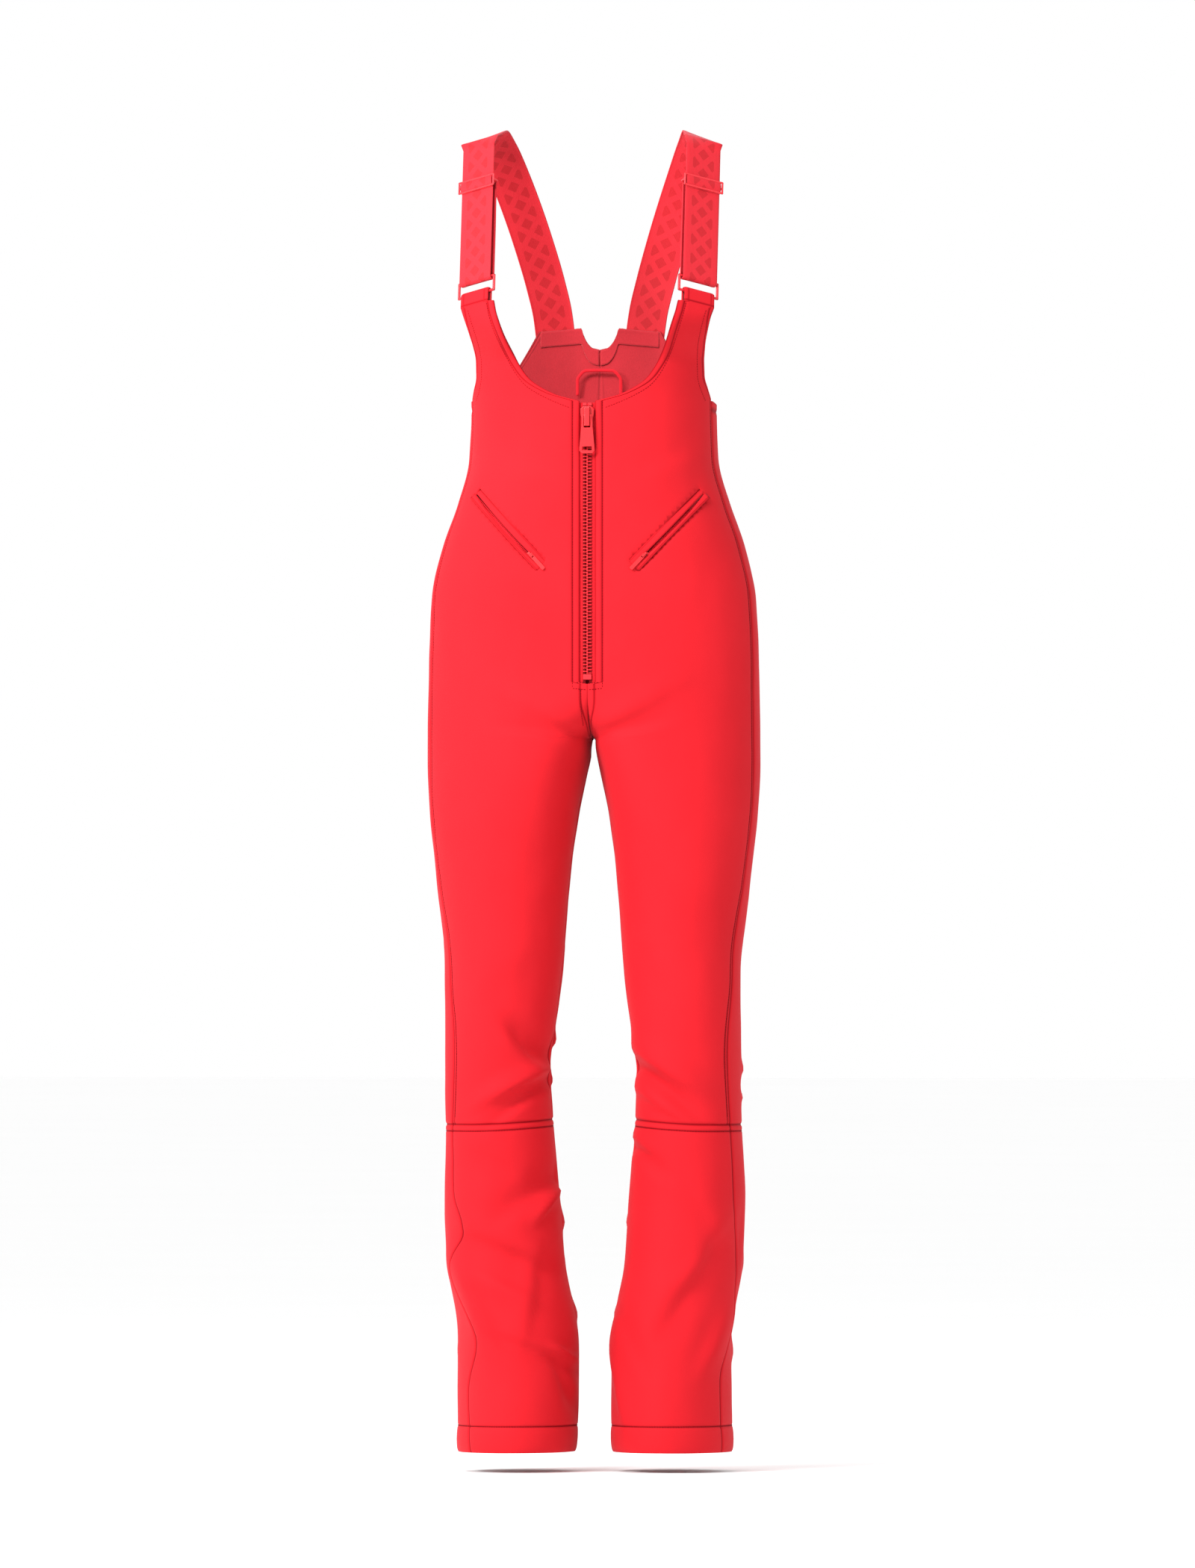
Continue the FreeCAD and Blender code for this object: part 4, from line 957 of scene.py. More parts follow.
def facings(side):
    """The bindings behind the neckline and the armhole, and the turned-up hem."""
    name = side_name(side)
    neck = edge_facing_rows([(20, 1158.5), *NECKLINE[1:]], 0.8, 11.0, 1, 6)
    facing_strip(f"neck_binding_{name}", f"neck_facing_{name}", neck, (side,), FACING_DEEP, FACING_THICK,
                 FACING)
    arm = edge_facing_rows(ARMHOLE, 0.8, 10.0, -1, 6)
    facing_strip(f"armhole_binding_{name}", f"armhole_facing_{name}", arm, (side,), FACING_DEEP, FACING_THICK,
                 FACING)
    hem = [((0.003, z), (0.997, z)) for z in (1.2, 3, 6, 12, 18, 24, 28, 29.5)]
    facing_strip(f"hem_turn_up_{name}", f"hem_facing_{name}", hem, (side,), FACING_DEEP, HEM_TURN_UP_THICK,
                 INSIDE, 121)


def back_facing():
    """The band behind the top edge of the back, from the dip at the centre out under the brace."""
    edge = [*BACK_INNER, (30, 1239.3), (45, 1238), (60, 1236.7), (66, 1236)]
    table = numbered(edge)
    rows = []
    for k in range(4 * (len(edge) - 1) + 1):
        x, top = along(table, k / 4)
        rows.append([(u_back(x, z), z) for z in (top - BACK_FACING_TALL, top - 0.8)])
    facing_strip("back_binding", "back_facing", rows, (1, -1), FACING_DEEP, FACING_THICK, INSIDE)


# ---- hand pockets --------------------------------------------------------------------------------
def pocket_frame():
    """The circle that the slit lies on: centre, directions, radius and half of the slit's angle."""
    (x0, z0), (x1, z1) = POCKET_IN, POCKET_OUT
    low, high = outline(u_at(x0, z0), z0), outline(u_at(x1, z1), z1)
    xm, zm = (x0 + x1) / 2, (z0 + z1) / 2
    mid = outline(u_at(xm, zm), zm)
    chord = high - low
    half = chord.length / 2
    lengthwise = chord.normalized()
    rise = mid - (low + high) * 0.5
    rise = rise - lengthwise * rise.dot(lengthwise)
    sag = rise.length
    normal = rise.normalized()
    radius = (half * half + sag * sag) / (2 * sag)
    centre = (low + high) * 0.5 + normal * (sag - radius)
    return centre, lengthwise, normal, normal.cross(lengthwise), radius, math.asin(half / radius)


P_CENTRE, P_ALONG, P_OUT, P_ACROSS, P_RADIUS, P_HALF = pocket_frame()
WELT_HALF, HOLE_HALF = 8.2, 7.0
WELT_STITCH = 6.4           # distance of the welt's stitches from the slit's middle
WELT_END = 0.02             # angle by which the welts run past the slit
POCKET_BOW = -2.6           # how far the slit sags from a straight line, towards the side
COIL_PITCH, COIL_APART, COIL_DEPTH = 1.5, 2.25, 3.3
POCKET_TAPE_DEPTH = 3.9
SINK = 1.3                  # how far the panel's cut edge dips under the welts


def pocket_outwards(angle):
    return P_OUT * math.cos(angle) + P_ALONG * math.sin(angle)


def pocket_point(angle, depth, w=0.0):
    """A point below the slit's circle: at an angle along it, at a depth, and a distance across it."""
    return P_CENTRE + pocket_outwards(angle) * (P_RADIUS - depth) + P_ACROSS * w


def pocket_tangent(angle):
    return P_ALONG * math.cos(angle) - P_OUT * math.sin(angle)


def pocket_place(p):
    """Where a pattern point lies at the slit: angle along it, distance across it, height above it."""
    d = p - P_CENTRE
    return math.atan2(d.dot(P_ALONG), d.dot(P_OUT)), d.dot(P_ACROSS), d.length - P_RADIUS


def pocket_hole(piece, side):
    """Opens the panel behind the slit, along straight cuts, and lets its edge dip under the welts."""
    bm = bmesh.new()
    bm.from_mesh(piece.data)

    def measured(v):
        """Distance past the slit's end, distance across it and height above it."""
        p = unplace(v.co, side)
        angle, across, height = pocket_place(p)
        if not 940 < p.z < 1090 or p.y > 0:
            height = 1000.0
        return (abs(angle) - P_HALF) * P_RADIUS, across, height

    def nearby():
        """The part of the panel round the slit, in a fixed order."""
        close = set()
        for v in bm.verts:
            past, across, height = measured(v)
            if abs(height) < 20 and past < 12 and abs(across) < 20:
                close.add(v)
        faces = [f for f in bm.faces if any(v in close for v in f.verts)]
        edges = [e for f in faces for e in f.edges]
        verts = [v for f in faces for v in f.verts]
        return list(dict.fromkeys([*verts, *edges, *faces]))

    cuts = [(pocket_point(0, 0, across), P_ACROSS) for across in (HOLE_HALF, -HOLE_HALF)]
    cuts += [(pocket_point(angle, 0), pocket_tangent(angle)) for angle in (P_HALF, -P_HALF)]
    for at, way in cuts:
        start = place(at, side)
        normal = (place(at + way, side) - start).normalized()
        bmesh.ops.bisect_plane(bm, geom=nearby(), plane_co=start, plane_no=normal)
    inside = set()
    for v in bm.verts:
        past, across, height = measured(v)
        if abs(height) > 20 or past > 8:
            continue
        if abs(across) < HOLE_HALF + 0.05 and past < 0.05:
            inside.add(v)
        sunk = smooth((1.5 - max(abs(across) - WELT_HALF, past)) / 2.5)
        v.co = place(unplace(v.co, side) - P_OUT * SINK * sunk, side)
    cut_out = [f for f in bm.faces if all(v in inside for v in f.verts)]
    bmesh.ops.delete(bm, geom=cut_out, context="FACES")
    bm.to_mesh(piece.data)
    bm.free()


def welt_depth(w):
    """Depth of a welt's surface at a distance w across it: rounded outer edge and stitch groove."""
    return 0.9 * groove(WELT_HALF - abs(w), 0.9) - 0.55 + 0.3 * groove(abs(w) - WELT_STITCH, 0.6)


def welt_painted_shade(p):
    """How much painted shade falls on a welt at a pattern point, along its stitches, its edges and its ends.
    """
    angle, across, _ = pocket_place(p)
    from_end = (P_HALF + WELT_END - abs(angle)) * P_RADIUS
    sides = 0.7 * groove(abs(across) - WELT_STITCH, 0.6) + 0.9 * groove(WELT_HALF - abs(across), 0.7)
    return min(1.0, sides + 0.9 * groove(from_end, 0.8) + 0.7 * groove(from_end - 2.2, 0.6))


def pocket_welts(side):
    """The two lips of the slit, rolled inwards where they almost meet."""
    name = side_name(side)
    columns, rows = 14, 71
    whole = bmesh.new()
    for way in (1, -1):
        bm, listed = grid_mesh(columns, rows)
        for v, i, j in listed:
            s = j / (rows - 1)
            angle = -P_HALF - WELT_END + (2 * P_HALF + 2 * WELT_END) * s
            gap = 0.25 + 1.7 * math.sin(math.pi * s) ** 0.8
            lip = way * gap + POCKET_BOW * math.sin(math.pi * s)
            w = lip + (way * WELT_HALF - lip) * i / (columns - 1)
            roll = 1.4 * groove(w - lip, 0.9)
            end = 0.9 * (groove(s * 120, 1.0) + groove((1 - s) * 120, 1.0))
            v.co = place(pocket_point(angle, welt_depth(w) + roll + end, w), side)
        add_mesh(whole, bm, way * side > 0)
    painted_groove_shade = whole.verts.layers.float["painted_groove_shade"]
    for v in whole.verts:
        v[painted_groove_shade] = welt_painted_shade(unplace(v.co, side))
    piece = new_piece(f"pocket_lips_{name}", whole)
    finish_piece(piece, "welt", SHELL, INSIDE, thick=1.2, replaces=(f"pocket_welts_{name}",))


def pocket_tape(side):
    """The tape that the coils are sewn to, on both sides of the slit."""
    name = side_name(side)
    columns, rows = 3, 41
    inner, outer = 1.0, 8.0
    whole = bmesh.new()
    for way in (1, -1):
        bm, listed = grid_mesh(columns, rows)
        for v, i, j in listed:
            angle = -P_HALF + 2 * P_HALF * j / (rows - 1)
            w = way * (inner + (outer - inner) * i / (columns - 1))
            v.co = place(pocket_point(angle, POCKET_TAPE_DEPTH, w), side)
        add_mesh(whole, bm, way * side > 0)
    piece = new_piece(f"pocket_zip_tape_{name}", whole)
    finish_piece(piece, "zip_tape", TAPE, thick=0.4, replaces=(f"pocket_tape_{name}",))


def pocket_coil(side):
    """Two rows of coil, each a close helix drawn as a row of small loops."""
    name = side_name(side)
    bead = bmesh.new()
    bmesh.ops.create_uvsphere(bead, u_segments=7, v_segments=4, radius=1.0)
    size = Matrix.Diagonal((0.8, 0.36, 0.62, 1))
    places = []
    start, end = -P_HALF + 0.03, P_HALF - 0.03
    count = int((end - start) * P_RADIUS / COIL_PITCH)
    for way in (1, -1):
        for k in range(count):
            angle = start + (k + (0.5 if way > 0 else 0)) * COIL_PITCH / P_RADIUS
            at = pocket_point(angle, COIL_DEPTH, way * COIL_APART)
            axes = (P_ACROSS, pocket_tangent(angle).normalized(), pocket_outwards(angle).normalized())
            places.append(Matrix.Translation(at) @ Matrix(axes).transposed().to_4x4() @ size)
    bm = repeated(bead, places)
    for v in bm.verts:
        v.co = place(v.co, side)
    piece = new_piece(f"pocket_coil_rows_{name}", bm, side)
    finish_piece(piece, "zip_teeth", TEETH, replaces=(f"pocket_coil_{name}",))


POCKET_BAG = [(905, 62, 132), (915, 58, 137), (925, 55, 140), (942, 53, 143), (960, 52, 146), (980, 55, 146),
              (1000, 62, 146), (1020, 76, 143), (1040, 92, 140)]     # height, inner x, outer x


def hand_pocket(side):
    """Welts, tape, coils and bag."""
    name = side_name(side)
    pocket_welts(side)
    pocket_tape(side)
    pocket_coil(side)
    rows = [((u_at(x0, z), z), (u_at(x1, z), z)) for z, x0, x1 in POCKET_BAG]
    facing_strip(f"pocket_sack_{name}", f"pocket_bag_{name}", rows, (side,), 11.5, 1.0, POCKETING, 17)


# ---- front zip -----------------------------------------------------------------------------------
TOOTH_PITCH, FIRST_TOOTH = 3.75, 9.0
# Each tooth is two blocks, given by their two ends in x, y and z.
TOOTH_HEAD = ((-1.0, 1.6), (-105.6, -100.8), (0.1, 1.5))
TOOTH_FOOT = ((1.6, 4.9), (-105.3, -101.1), (0.25, 1.35))
TAPE_INNER, TAPE_WIDE = 2.0, 12.8
GUARD_SECTION = [(-24, -101.9), (-17.4, -101.9), (-14.5, -99.2), (-12, -97), (0, -97), (19, -97)]


def block(bm, spans, lift):
    """A box between its ends in x, y and z, lifted by a height."""
    made = bmesh.ops.create_cube(bm, size=1.0)
    size = Matrix.Diagonal([*(end - start for start, end in spans), 1])
    middle = Vector([(start + end) / 2 for start, end in spans]) + Vector((0, 0, lift))
    bmesh.ops.transform(bm, matrix=Matrix.Translation(middle) @ size, verts=made["verts"])


def zip_teeth(side):
    """A row of moulded teeth: a rounded head, and a foot clamped on the tape."""
    name = side_name(side)
    bm = bmesh.new()
    lowest = ZIP_FOOT_Z + FIRST_TOOTH
    count = int((NECK_Z - 8 - lowest) / TOOTH_PITCH)
    if side < 0:
        lowest += TOOTH_PITCH / 2
    for k in range(count):
        for spans in (TOOTH_HEAD, TOOTH_FOOT):
            block(bm, spans, lowest + k * TOOTH_PITCH)
    bmesh.ops.bevel(bm, geom=bm.edges[:], offset=0.38, offset_type="OFFSET", segments=1, profile=0.5,
                    affect="EDGES", material=-1)
    for v in bm.verts:
        v.co = place(v.co, side)
    piece = new_piece(f"moulded_teeth_{name}", bm, side)
    finish_piece(piece, "zip_teeth", TEETH, replaces=(f"zip_teeth_{name}",))


def zip_tape(side):
    """One side's tape, with the bead that the teeth are moulded on."""
    name = side_name(side)
    columns, rows = 9, 80
    foot, top = ZIP_FOOT_Z - 4, NECK_Z - 2
    bm, listed = grid_mesh(columns, rows)
    for v, i, j in listed:
        x = TAPE_INNER + TAPE_WIDE * i / (columns - 1)
        z = foot + (top - foot) * j / (rows - 1)
        bead = 0.5 * groove(x - TAPE_INNER - 0.4, 0.9)
        v.co = place(Vector((x, ZIP_TAPE_Y - bead, z)), side)
    piece = new_piece(f"woven_tape_{name}", bm, side)
    finish_piece(piece, "zip_tape", MAIN_TAPE, thick=0.6, replaces=(f"zip_tape_{name}",))


def zip_guard():
    """The windproof strip behind the zip, following its stepped section."""
    rows = 60
    foot, tall = ZIP_FOOT_Z - 6, NECK_Z + 3 - ZIP_FOOT_Z
    bm, listed = grid_mesh(len(GUARD_SECTION), rows)
    for v, i, j in listed:
        v.co = place(Vector((*GUARD_SECTION[i], foot + tall * j / (rows - 1))))
    finish_piece(new_piece("wind_guard", bm), "facing", FACING, thick=0.9, replaces=("zip_guard",))


# ---- braces --------------------------------------------------------------------------------------
# Points across the webbing, as shares of half its width, close together at its selvedges.
WEB_POINTS = [-1, -0.985, -0.95, -0.86, -0.6, -0.4, -0.2, 0, 0.2, 0.4, 0.6, 0.86, 0.95, 0.985, 1]
BACK_STEPS = 70


def webbing_strip(name, path, side, thick=WEB_THICK):
    """Webbing swept along a path of (middle of its outer face, across, outwards), with a UV map in metres."""
    bm, listed = grid_mesh(len(WEB_POINTS), len(path))
    walked = walked_through([at for at, _, _ in path])
    uv = bm.loops.layers.uv["UVMap"]
    where = {}
    half = WEB_WIDE / 2
    for v, i, j in listed:
        at, across, out = path[j]
        w = WEB_POINTS[i] * half
        thin = 0.55 * groove(half - abs(w), 0.55)
        rib = -0.18 * groove(half - abs(w) - 3.2, 1.6)
        v.co = place(at + across * w - out * (thin + rib), side)
        where[v] = (w * MM, walked[j] * MM)
    for f in bm.faces:
        for corner in f.loops:
            corner[uv].uv = where[corner.vert]
    piece = new_piece(name, bm, side)
    piece.data.materials.append(WEBBING)
    give_thickness(piece, thick, 0)
    return piece


def brace_path():
    """Round the ring's upper bar, straight up the front, over the shoulder and down to the back's edge."""
    radius = WRAP_R + WEB_THICK
    path = []
    for turn in range(0, 180, 12):
        a = math.radians(turn)
        out = (UP * -math.sin(a) - OUT * math.cos(a)).normalized()
        path.append((RING_AT + out * radius, ACROSS, out))
    for y in even_levels(0, STRAIGHT_LONG, 6):
        path.append((RING_AT + UP * y + OUT * radius, ACROSS, OUT))
    start = RING_AT + UP * (STRAIGHT_LONG + 8) + OUT * (WRAP_R + WEB_THICK / 2)
    table = numbered([start, *BRACE_BACK])
    last = len(table) - 1
    for i in range(1, BACK_STEPS + 1):
        t = i / BACK_STEPS
        k = last * t
        at = Vector(along(table, k))
        tangent = (Vector(along(table, min(k + 0.05, last))) - Vector(along(table, k - 0.05))).normalized()
        way = ACROSS.lerp(SHOULDER_WAY, smooth(t * 3)).lerp(BACK_WAY, smooth((t - 0.4) * 2))
        across = (way - tangent * way.dot(tangent)).normalized()
        out = across.cross(tangent).normalized()
        path.append((at + out * WEB_THICK / 2, across, out))
    return path


def brace(side):
    """The webbing of one brace."""
    name = side_name(side)
    piece = webbing_strip(f"brace_webbing_{name}", brace_path(), side)
    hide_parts(f"strap_webbing_{name}")
    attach(piece, "garment")


WEB_FACE = WRAP_R + 0.8     # the plane that the adjuster's bars are measured from
BAR_OUT, BAR_IN = -3.2, -5.4


def return_path():
    """The layer behind the brace, from the ring up and round the adjuster's middle bar."""
    near, far = WEB_FACE + BAR_OUT + 0.3, WEB_FACE + BAR_IN - 0.3
    top = ADJUSTER_ALONG
    path = []
    for y in even_levels(0.6, top - 14, 6):
        depth = -WRAP_R - WEB_THICK + (far + WRAP_R) * smooth((y - (top - 60)) / 46)
        path.append((RING_AT + UP * y + OUT * depth, ACROSS, -OUT))
    for y in (top - 9, top - 4):
        path.append((RING_AT + UP * y + OUT * (far - WEB_THICK), ACROSS, -OUT))
    middle, radius = (near + far) / 2, (near - far) / 2 + WEB_THICK
    for turn in range(0, 181, 20):
        a = math.radians(turn)
        out = (UP * math.sin(a) - OUT * math.cos(a)).normalized()
        path.append((RING_AT + UP * (top + 0.2) + OUT * middle + out * radius, ACROSS, out))
    for y in (top - 2, top - 4):
        path.append((RING_AT + UP * y + OUT * (near + WEB_THICK), ACROSS, OUT))
    return path


def brace_return(side):
    """The webbing folded back behind the brace, which lengthens and shortens as the adjuster slides."""
    name = side_name(side)
    path = [(at, -across, out) for at, across, out in return_path()]
    piece = webbing_strip(f"brace_return_{name}", path, side)
    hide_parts(f"strap_return_{name}")
    start = place(RING_AT + UP * 6, side)
    end = place(RING_AT + UP * (ADJUSTER_ALONG - 12), side)
    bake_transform(piece, "garment", f"strap_adjuster_{name}", start=tuple(start), end=tuple(end))


def rod(bm, a, b, radius):
    """A round bar between two points, with rounded ends."""
    way = b - a
    turn = way.to_track_quat("Z", "X").to_matrix().to_4x4()
    bmesh.ops.create_cone(bm, segments=14, radius1=radius, radius2=radius, depth=way.length,
                          matrix=Matrix.Translation((a + b) / 2) @ turn)
    for end in (a, b):
        bmesh.ops.create_uvsphere(bm, u_segments=14, v_segments=8, radius=radius,
                                  matrix=Matrix.Translation(end))


def wire_piece(name, node, rods, side, body):
    """Bars given in the brace's own directions: across, up and outwards from the ring's upper bar."""
    bm = bmesh.new()
    for (a, b), radius in rods:
        ends = [RING_AT + ACROSS * p[0] + UP * p[1] + OUT * p[2] for p in (a, b)]
        rod(bm, *ends, radius)
    for v in bm.verts:
        v.co = place(v.co, side)
    piece = new_piece(name, bm, side)
    return finish_piece(piece, "buckle", COATED_WIRE, replaces=(node,), body=body)


def frame_of_bars(half, low, high, out, radius):
    """Four bars round an upright rectangle."""
    bars = [((-half, y, out), (half, y, out)) for y in (high, low)]
    bars += [((x, low, out), (x, high, out)) for x in (half, -half)]
    return [(bar, radius) for bar in bars]


def ring_and_adjuster(side):
    """The rectangular ring, and the adjuster with its raised frame and the middle bar behind it."""
    name = side_name(side)
    ring = frame_of_bars(WEB_WIDE / 2 + 2.7, -RING_SPAN, 0, 0, BAR_R)
    wire_piece(f"brace_ring_{name}", f"strap_ring_{name}", ring, side, f"strap_ring_{name}")
    half, reach, up = WEB_WIDE / 2 + 2.2, 6.2, ADJUSTER_ALONG
    front, back = WEB_FACE + 2.4, WEB_FACE + (BAR_OUT + BAR_IN) / 2
    bars = frame_of_bars(half, up - reach, up + reach, front, 1.15)
    bars += [(((-half, up, back), (half, up, back)), 1.1)]
    bars += [(((x, up, back), (x, up, front)), 1.1) for x in (half, -half)]
    wire_piece(f"brace_adjuster_{name}", f"strap_adjuster_{name}", bars, side, f"strap_adjuster_{name}")


def adjuster_cover(side):
    """The stretch of webbing that rolls over the adjuster's bars and slides along with it."""
    name = side_name(side)
    path = []
    for turn in range(-75, 76, 10):
        a = math.radians(turn)
        out = (OUT * math.cos(a) + UP * math.sin(a)).normalized()
        at = RING_AT + UP * (ADJUSTER_ALONG + 8.2 * math.sin(a)) + OUT * (WRAP_R + 0.4 + 4.2 * math.cos(a))
        path.append((at, ACROSS, out))
    piece = webbing_strip(f"brace_roll_{name}", path, side, thick=0.9)
    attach(piece, f"strap_adjuster_{name}")


# ---- inside --------------------------------------------------------------------------------------
GAITER_TOP_Z, CUFF_TOP_Z, GAITER_FOOT_Z = 232.0, 86.0, 62.0
CUFF_X, CUFF_Y = 84.0, 22.0             # middle of the elastic cuff
CUFF_WIDE, CUFF_DEEP = 47.0, 60.0       # its half width and half depth
GATHERS, GATHER_FROM_Z = 34, 84
GAITER_COLUMNS = 205


def gaiter_point(u, z, depth, side):
    """From close behind the shell at the gaiter's top, gathering into the cuff's oval lower down."""
    t = smooth((GAITER_TOP_Z - z) / (GAITER_TOP_Z - GAITER_FOOT_Z - 24))
    gather = (0.9 + 1.6 * t) * math.sin(u * 2 * math.pi * GATHERS) * smooth((z - GATHER_FROM_Z) / 30) * t
    wide = skin(u, z, cloth_lift(u, z, side) * (1 - t) - 4.5 - depth)
    turn = 2 * math.pi * u
    cuff = Vector((CUFF_X - (CUFF_WIDE - depth + gather * 0.6) * math.cos(turn),
                   CUFF_Y - (CUFF_DEEP - depth + gather * 0.6) * math.sin(turn), z))
    return wide * (1 - t) + cuff * t


def gaiter_part(name, heights, depth, side):
    """A closed sleeve through the given heights."""
    bm, listed = grid_mesh(GAITER_COLUMNS, len(heights))
    for v, i, j in listed:
        u = 0.004 + 0.992 * i / (GAITER_COLUMNS - 1)
        v.co = place(gaiter_point(u, heights[j], depth, side), side)
    return new_piece(name, bm, side)


def snow_gaiter(side):
    """The gathered skirt inside the leg, and its elastic cuff."""
    name = side_name(side)
    skirt = gaiter_part(f"gaiter_skirt_{name}", even_levels(CUFF_TOP_Z + 0.8, GAITER_TOP_Z, 5), 0.0, side)
    finish_piece(skirt, "gaiter", RIPSTOP, thick=0.7, replaces=(f"gaiter_{name}",))
    cuff = gaiter_part(f"gaiter_grip_{name}", even_levels(GAITER_FOOT_Z, CUFF_TOP_Z, 2), -0.4, side)
    finish_piece(cuff, "elastic", ELASTIC, thick=1.8, replaces=(f"gaiter_cuff_{name}",))


HANGER_PATH = [(-24, 0), (-24, 16.5), (-21, 23), (-14, 28), (0, 28.4), (14, 28), (21, 23), (24, 16.5),
               (24, 0)]
HANGER_Y, HANGER_Z, HANGER_HALF_WIDE = 82.4, 1165, 1.7
LABEL_LEFT, LABEL_LOW, LABEL_Y, LABEL_CELL = -16, 1092, 72.6, 4


def hanging_loop():
    """The loop of tape sewn inside the back."""
    rows = 49
    table = numbered(HANGER_PATH)
    last = len(HANGER_PATH) - 1
    bm, listed = grid_mesh(3, rows)
    for v, i, j in listed:
        k = last * j / (rows - 1)
        x, z = along(table, k)
        ahead, behind = along(table, min(k + 0.1, last)), along(table, max(k - 0.1, 0))
        dx, dz = ahead[0] - behind[0], ahead[1] - behind[1]
        size = math.hypot(dx, dz)
        w = (i - 1) * HANGER_HALF_WIDE
        v.co = place(Vector((x + w * dz / size, HANGER_Y, HANGER_Z + z - w * dx / size)))
    bmesh.ops.recalc_face_normals(bm, faces=bm.faces)
    finish_piece(new_piece("hanging_loop", bm), "webbing", TAPE, thick=0.8, replaces=("hanger_loop",))


def blank_label():
    """The care label below the loop, curling away from the cloth at its foot."""
    columns, rows = 9, 15
    bm, listed = grid_mesh(columns, rows)
    for v, i, j in listed:
        x, z = LABEL_LEFT + LABEL_CELL * i, LABEL_LOW + LABEL_CELL * j
        curl = 1.6 * (1 - j / (rows - 1)) ** 2 + 0.3 * math.sin(x * 0.3)
        v.co = place(Vector((x, LABEL_Y - curl, z)))
    finish_piece(new_piece("blank_label", bm), "label", SATIN, thick=0.3, replaces=("care_label",))


# ---- sewing --------------------------------------------------------------------------------------
IN_GROOVE, ON_CLOTH = -0.45, -0.05      # how far the stitches stand above the cloth


def topstitching(side):
    """The visible rows of stitches on one side."""
    rows = []

    def along_seam(u_of, start, end):
        """A row at a u that changes with the height."""
        rows.append((surface_path(u_of, lambda z: z, side, IN_GROOVE), start, end))

    def around(height):
        """A row round the leg."""
        rows.append((surface_path(lambda u: u, lambda u: height, side, IN_GROOVE), 0.004, 0.996))

    def line(points):
        rows.append((line_path(points, side, ON_CLOTH), 0, len(points) - 1))

    zip_row = OPENING_HALF + EDGE_STITCH
    along_seam(lambda z: inset_u(along(UPPER_SEAM, z)[0], z, -SEAM_STITCH), KNEE_Z + 8, 1150)
    along_seam(lambda z: inset_u(along(BACK_SEAM, z)[0], z, SEAM_STITCH), KNEE_Z + 8, 1146)
    around(KNEE_Z - KNEE_STITCH)
    around(HEM_BAND)
    along_seam(lambda z: u_at(zip_row, z), ZIP_FOOT_Z, NECK_Z - 1)
    along_seam(lambda z: 1 - inset_u(0.0, z, SEAM_STITCH), CROTCH_Z + 14, 1205)
    line(beside([(zip_row, NECK_Z), *NECKLINE[1:]], EDGE_STITCH))
    line(beside(ARMHOLE, -EDGE_STITCH))
    # A box of stitches closes the foot of the zip, and one more row runs down beside the centre seam.
    box_low = ZIP_FOOT_Z - 7
    line([(0.5, ZIP_FOOT_Z - 1.5), (OPENING_HALF + 3, ZIP_FOOT_Z - 0.5)])
    line([(zip_row, ZIP_FOOT_Z), (zip_row, box_low)])
    line([(zip_row, box_low), (0.5, box_low - 1.5)])
    if side < 0:
        line([(7.5, box_low - 1.0), (7.5, 825), (7.0, 812), (5.5, 800)])
    sew(rows, side)


# ---- camera, light and floor ---------------------------------------------------------------------
CAMERA_FAR, SENSOR_TALL = 30.0, 24.0
FRAME_TALL = 1.730          # metres of the scene that the frame takes in from top to bottom
CAMERA_AZIMUTH = math.radians(4.0)
FLOOR_BELOW_HEM = 0.022


def camera():
    """A long lens, level with the middle of the trousers and a little to the wearer's left."""
    data = bpy.data.cameras.new("camera")
    data.sensor_fit = "VERTICAL"
    data.sensor_height = SENSOR_TALL
    data.lens = SENSOR_TALL * CAMERA_FAR / FRAME_TALL
    target = Vector((0.0025, 0, HEM_HEIGHT_IN_FRAME + 0.736))
    away = Vector((math.sin(CAMERA_AZIMUTH), -math.cos(CAMERA_AZIMUTH), 0))
    eye = bpy.data.objects.new("camera", data)
    eye.location = target + away * CAMERA_FAR
    eye.rotation_euler = (target - eye.location).to_track_quat("-Z", "Y").to_euler()
    bpy.context.scene.collection.objects.link(eye)
    bpy.context.scene.camera = eye


def soft_light(name, at, look, size, power):
    """A rectangular lamp at one place, turned to another."""
    data = bpy.data.lights.new(name, "AREA")
    data.shape = "RECTANGLE"
    data.size, data.size_y = size
    data.energy = power
    lamp = bpy.data.objects.new(name, data)
    lamp.location = at
    lamp.rotation_euler = (Vector(look) - Vector(at)).to_track_quat("-Z", "Y").to_euler()
    bpy.context.scene.collection.objects.link(lamp)


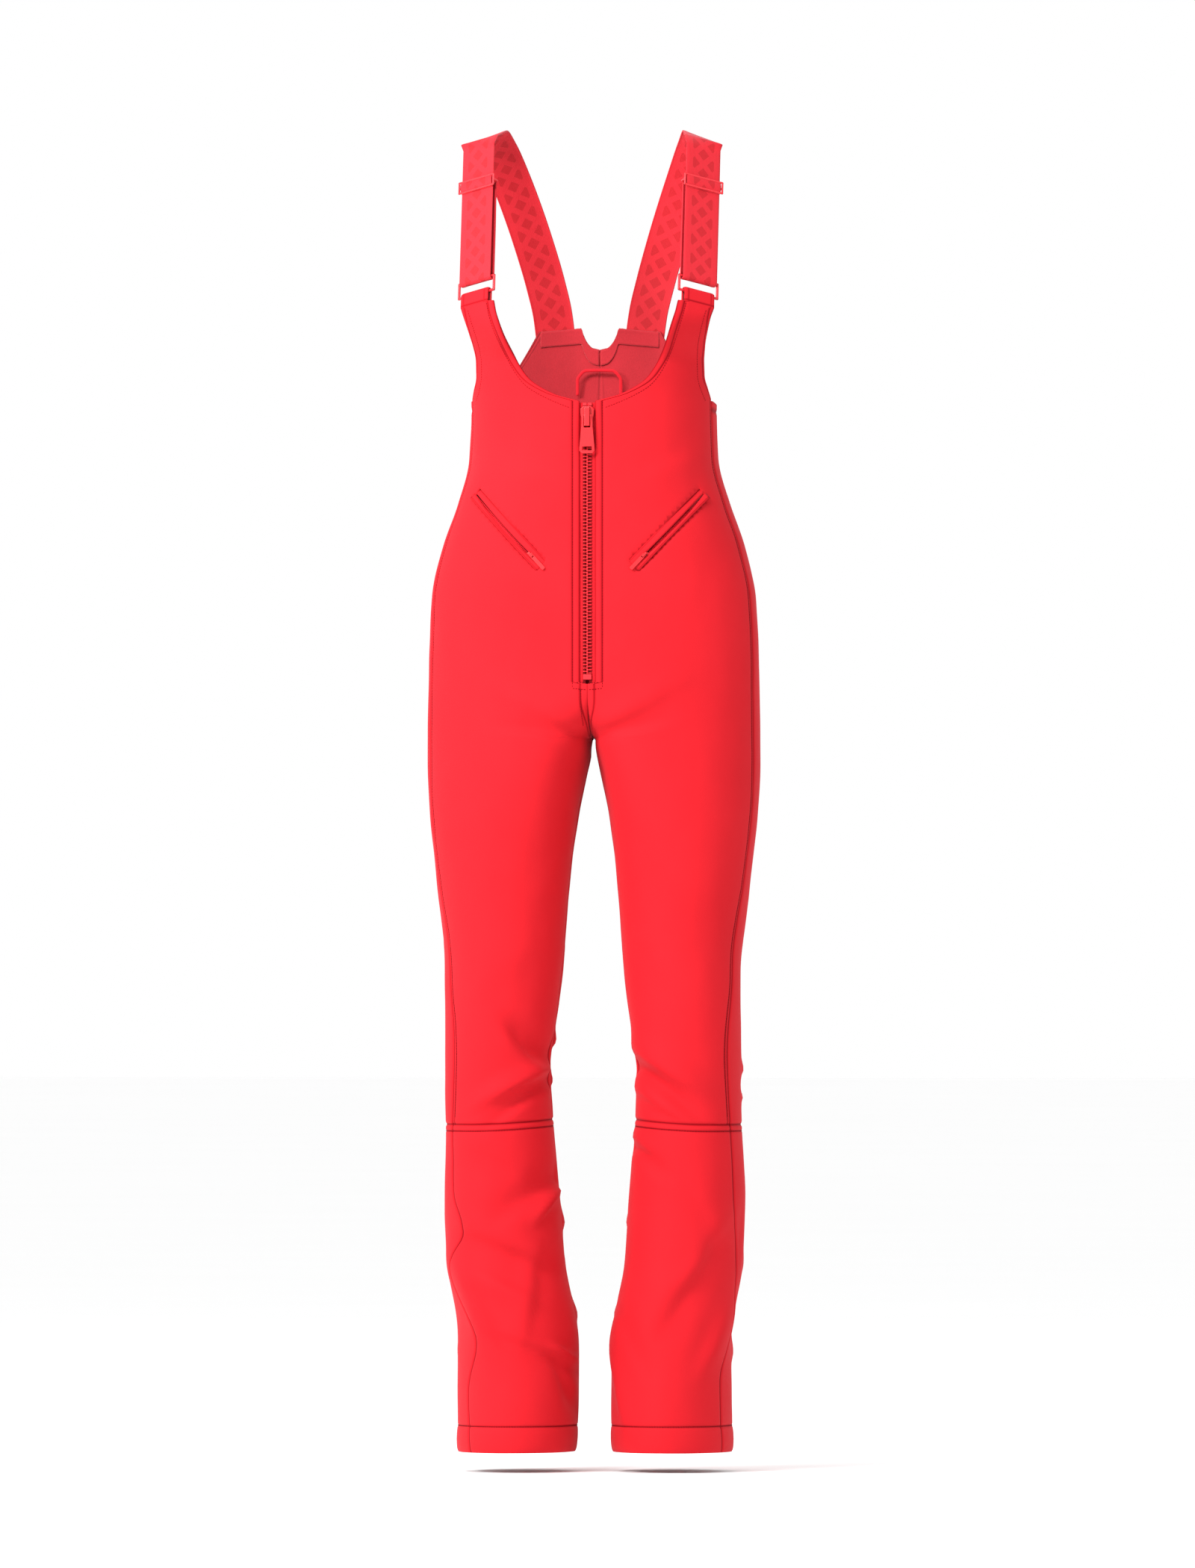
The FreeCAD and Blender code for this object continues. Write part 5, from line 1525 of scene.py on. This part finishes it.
def pale_floor():
    """Off-white with a faint cloudiness."""
    paint = Finish("pale floor")
    cloudy = paint.mix((0.97, 0.97, 0.97), (0.99, 0.99, 0.99), paint.noise(2.0, 2.0))
    paint.fill(paint.shader.inputs["Base Color"], cloudy)
    paint.fill(paint.shader.inputs["Roughness"], 0.7)
    return paint.material


def studio():
    """White surroundings, four soft lights and a floor."""
    world = bpy.data.worlds.new("studio")
    world.use_nodes = True
    background = world.node_tree.nodes["Background"]
    background.inputs["Color"].default_value = (1, 1, 1, 1)
    background.inputs["Strength"].default_value = 1.0
    bpy.context.scene.world = world
    soft_light("key", (-2.3, -2.5, 0.95), (0, 0, -0.72), (0.8, 1.0), 118)
    soft_light("bib", (-0.7, -1.7, 0.95), (0, -0.1, -0.28), (0.7, 0.6), 42)
    soft_light("left edge", (-3.2, 0.3, -0.4), (0, 0, -0.7), (0.6, 2.0), 22)
    soft_light("right fill", (2.8, -2.6, -0.2), (0, 0, -0.6), (1.0, 1.6), 8)
    bm = bmesh.new()
    bmesh.ops.create_grid(bm, x_segments=1, y_segments=1, size=40.0)
    for v in bm.verts:
        v.co.z = HEM_HEIGHT_IN_FRAME - FLOOR_BELOW_HEM
    floor = new_piece("floor", bm)
    floor.data.materials.append(pale_floor())
    bpy.context.scene.view_settings.view_transform = "Standard"


def refinish(node, material):
    """A solid whose shape is right keeps it and gets a proper finish."""
    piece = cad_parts[node]
    piece.data.materials.clear()
    piece.data.materials.append(material)


def build():
    """The whole garment, one side after the other, then what lies on the centre line."""
    camera()
    for side in (1, -1):
        front_panel(side)
        side_panel(side)
        back_panel(side)
        lower_leg(side)
        facings(side)
        hand_pocket(side)
        zip_teeth(side)
        zip_tape(side)
        brace(side)
        brace_return(side)
        ring_and_adjuster(side)
        adjuster_cover(side)
        snow_gaiter(side)
        topstitching(side)
        for node in ("pocket_slider", "pocket_pull"):
            refinish(f"{node}_{side_name(side)}", LACQUER)
    for node in ("zip_slider", "zip_crown", "zip_pull"):
        refinish(node, LACQUER)
    for node in ("zip_bottom_stop", "zip_top_stops"):
        refinish(node, TEETH)
    zip_guard()
    back_facing()
    hanging_loop()
    blank_label()
    studio()


build()
bpy.context.view_layer.update()
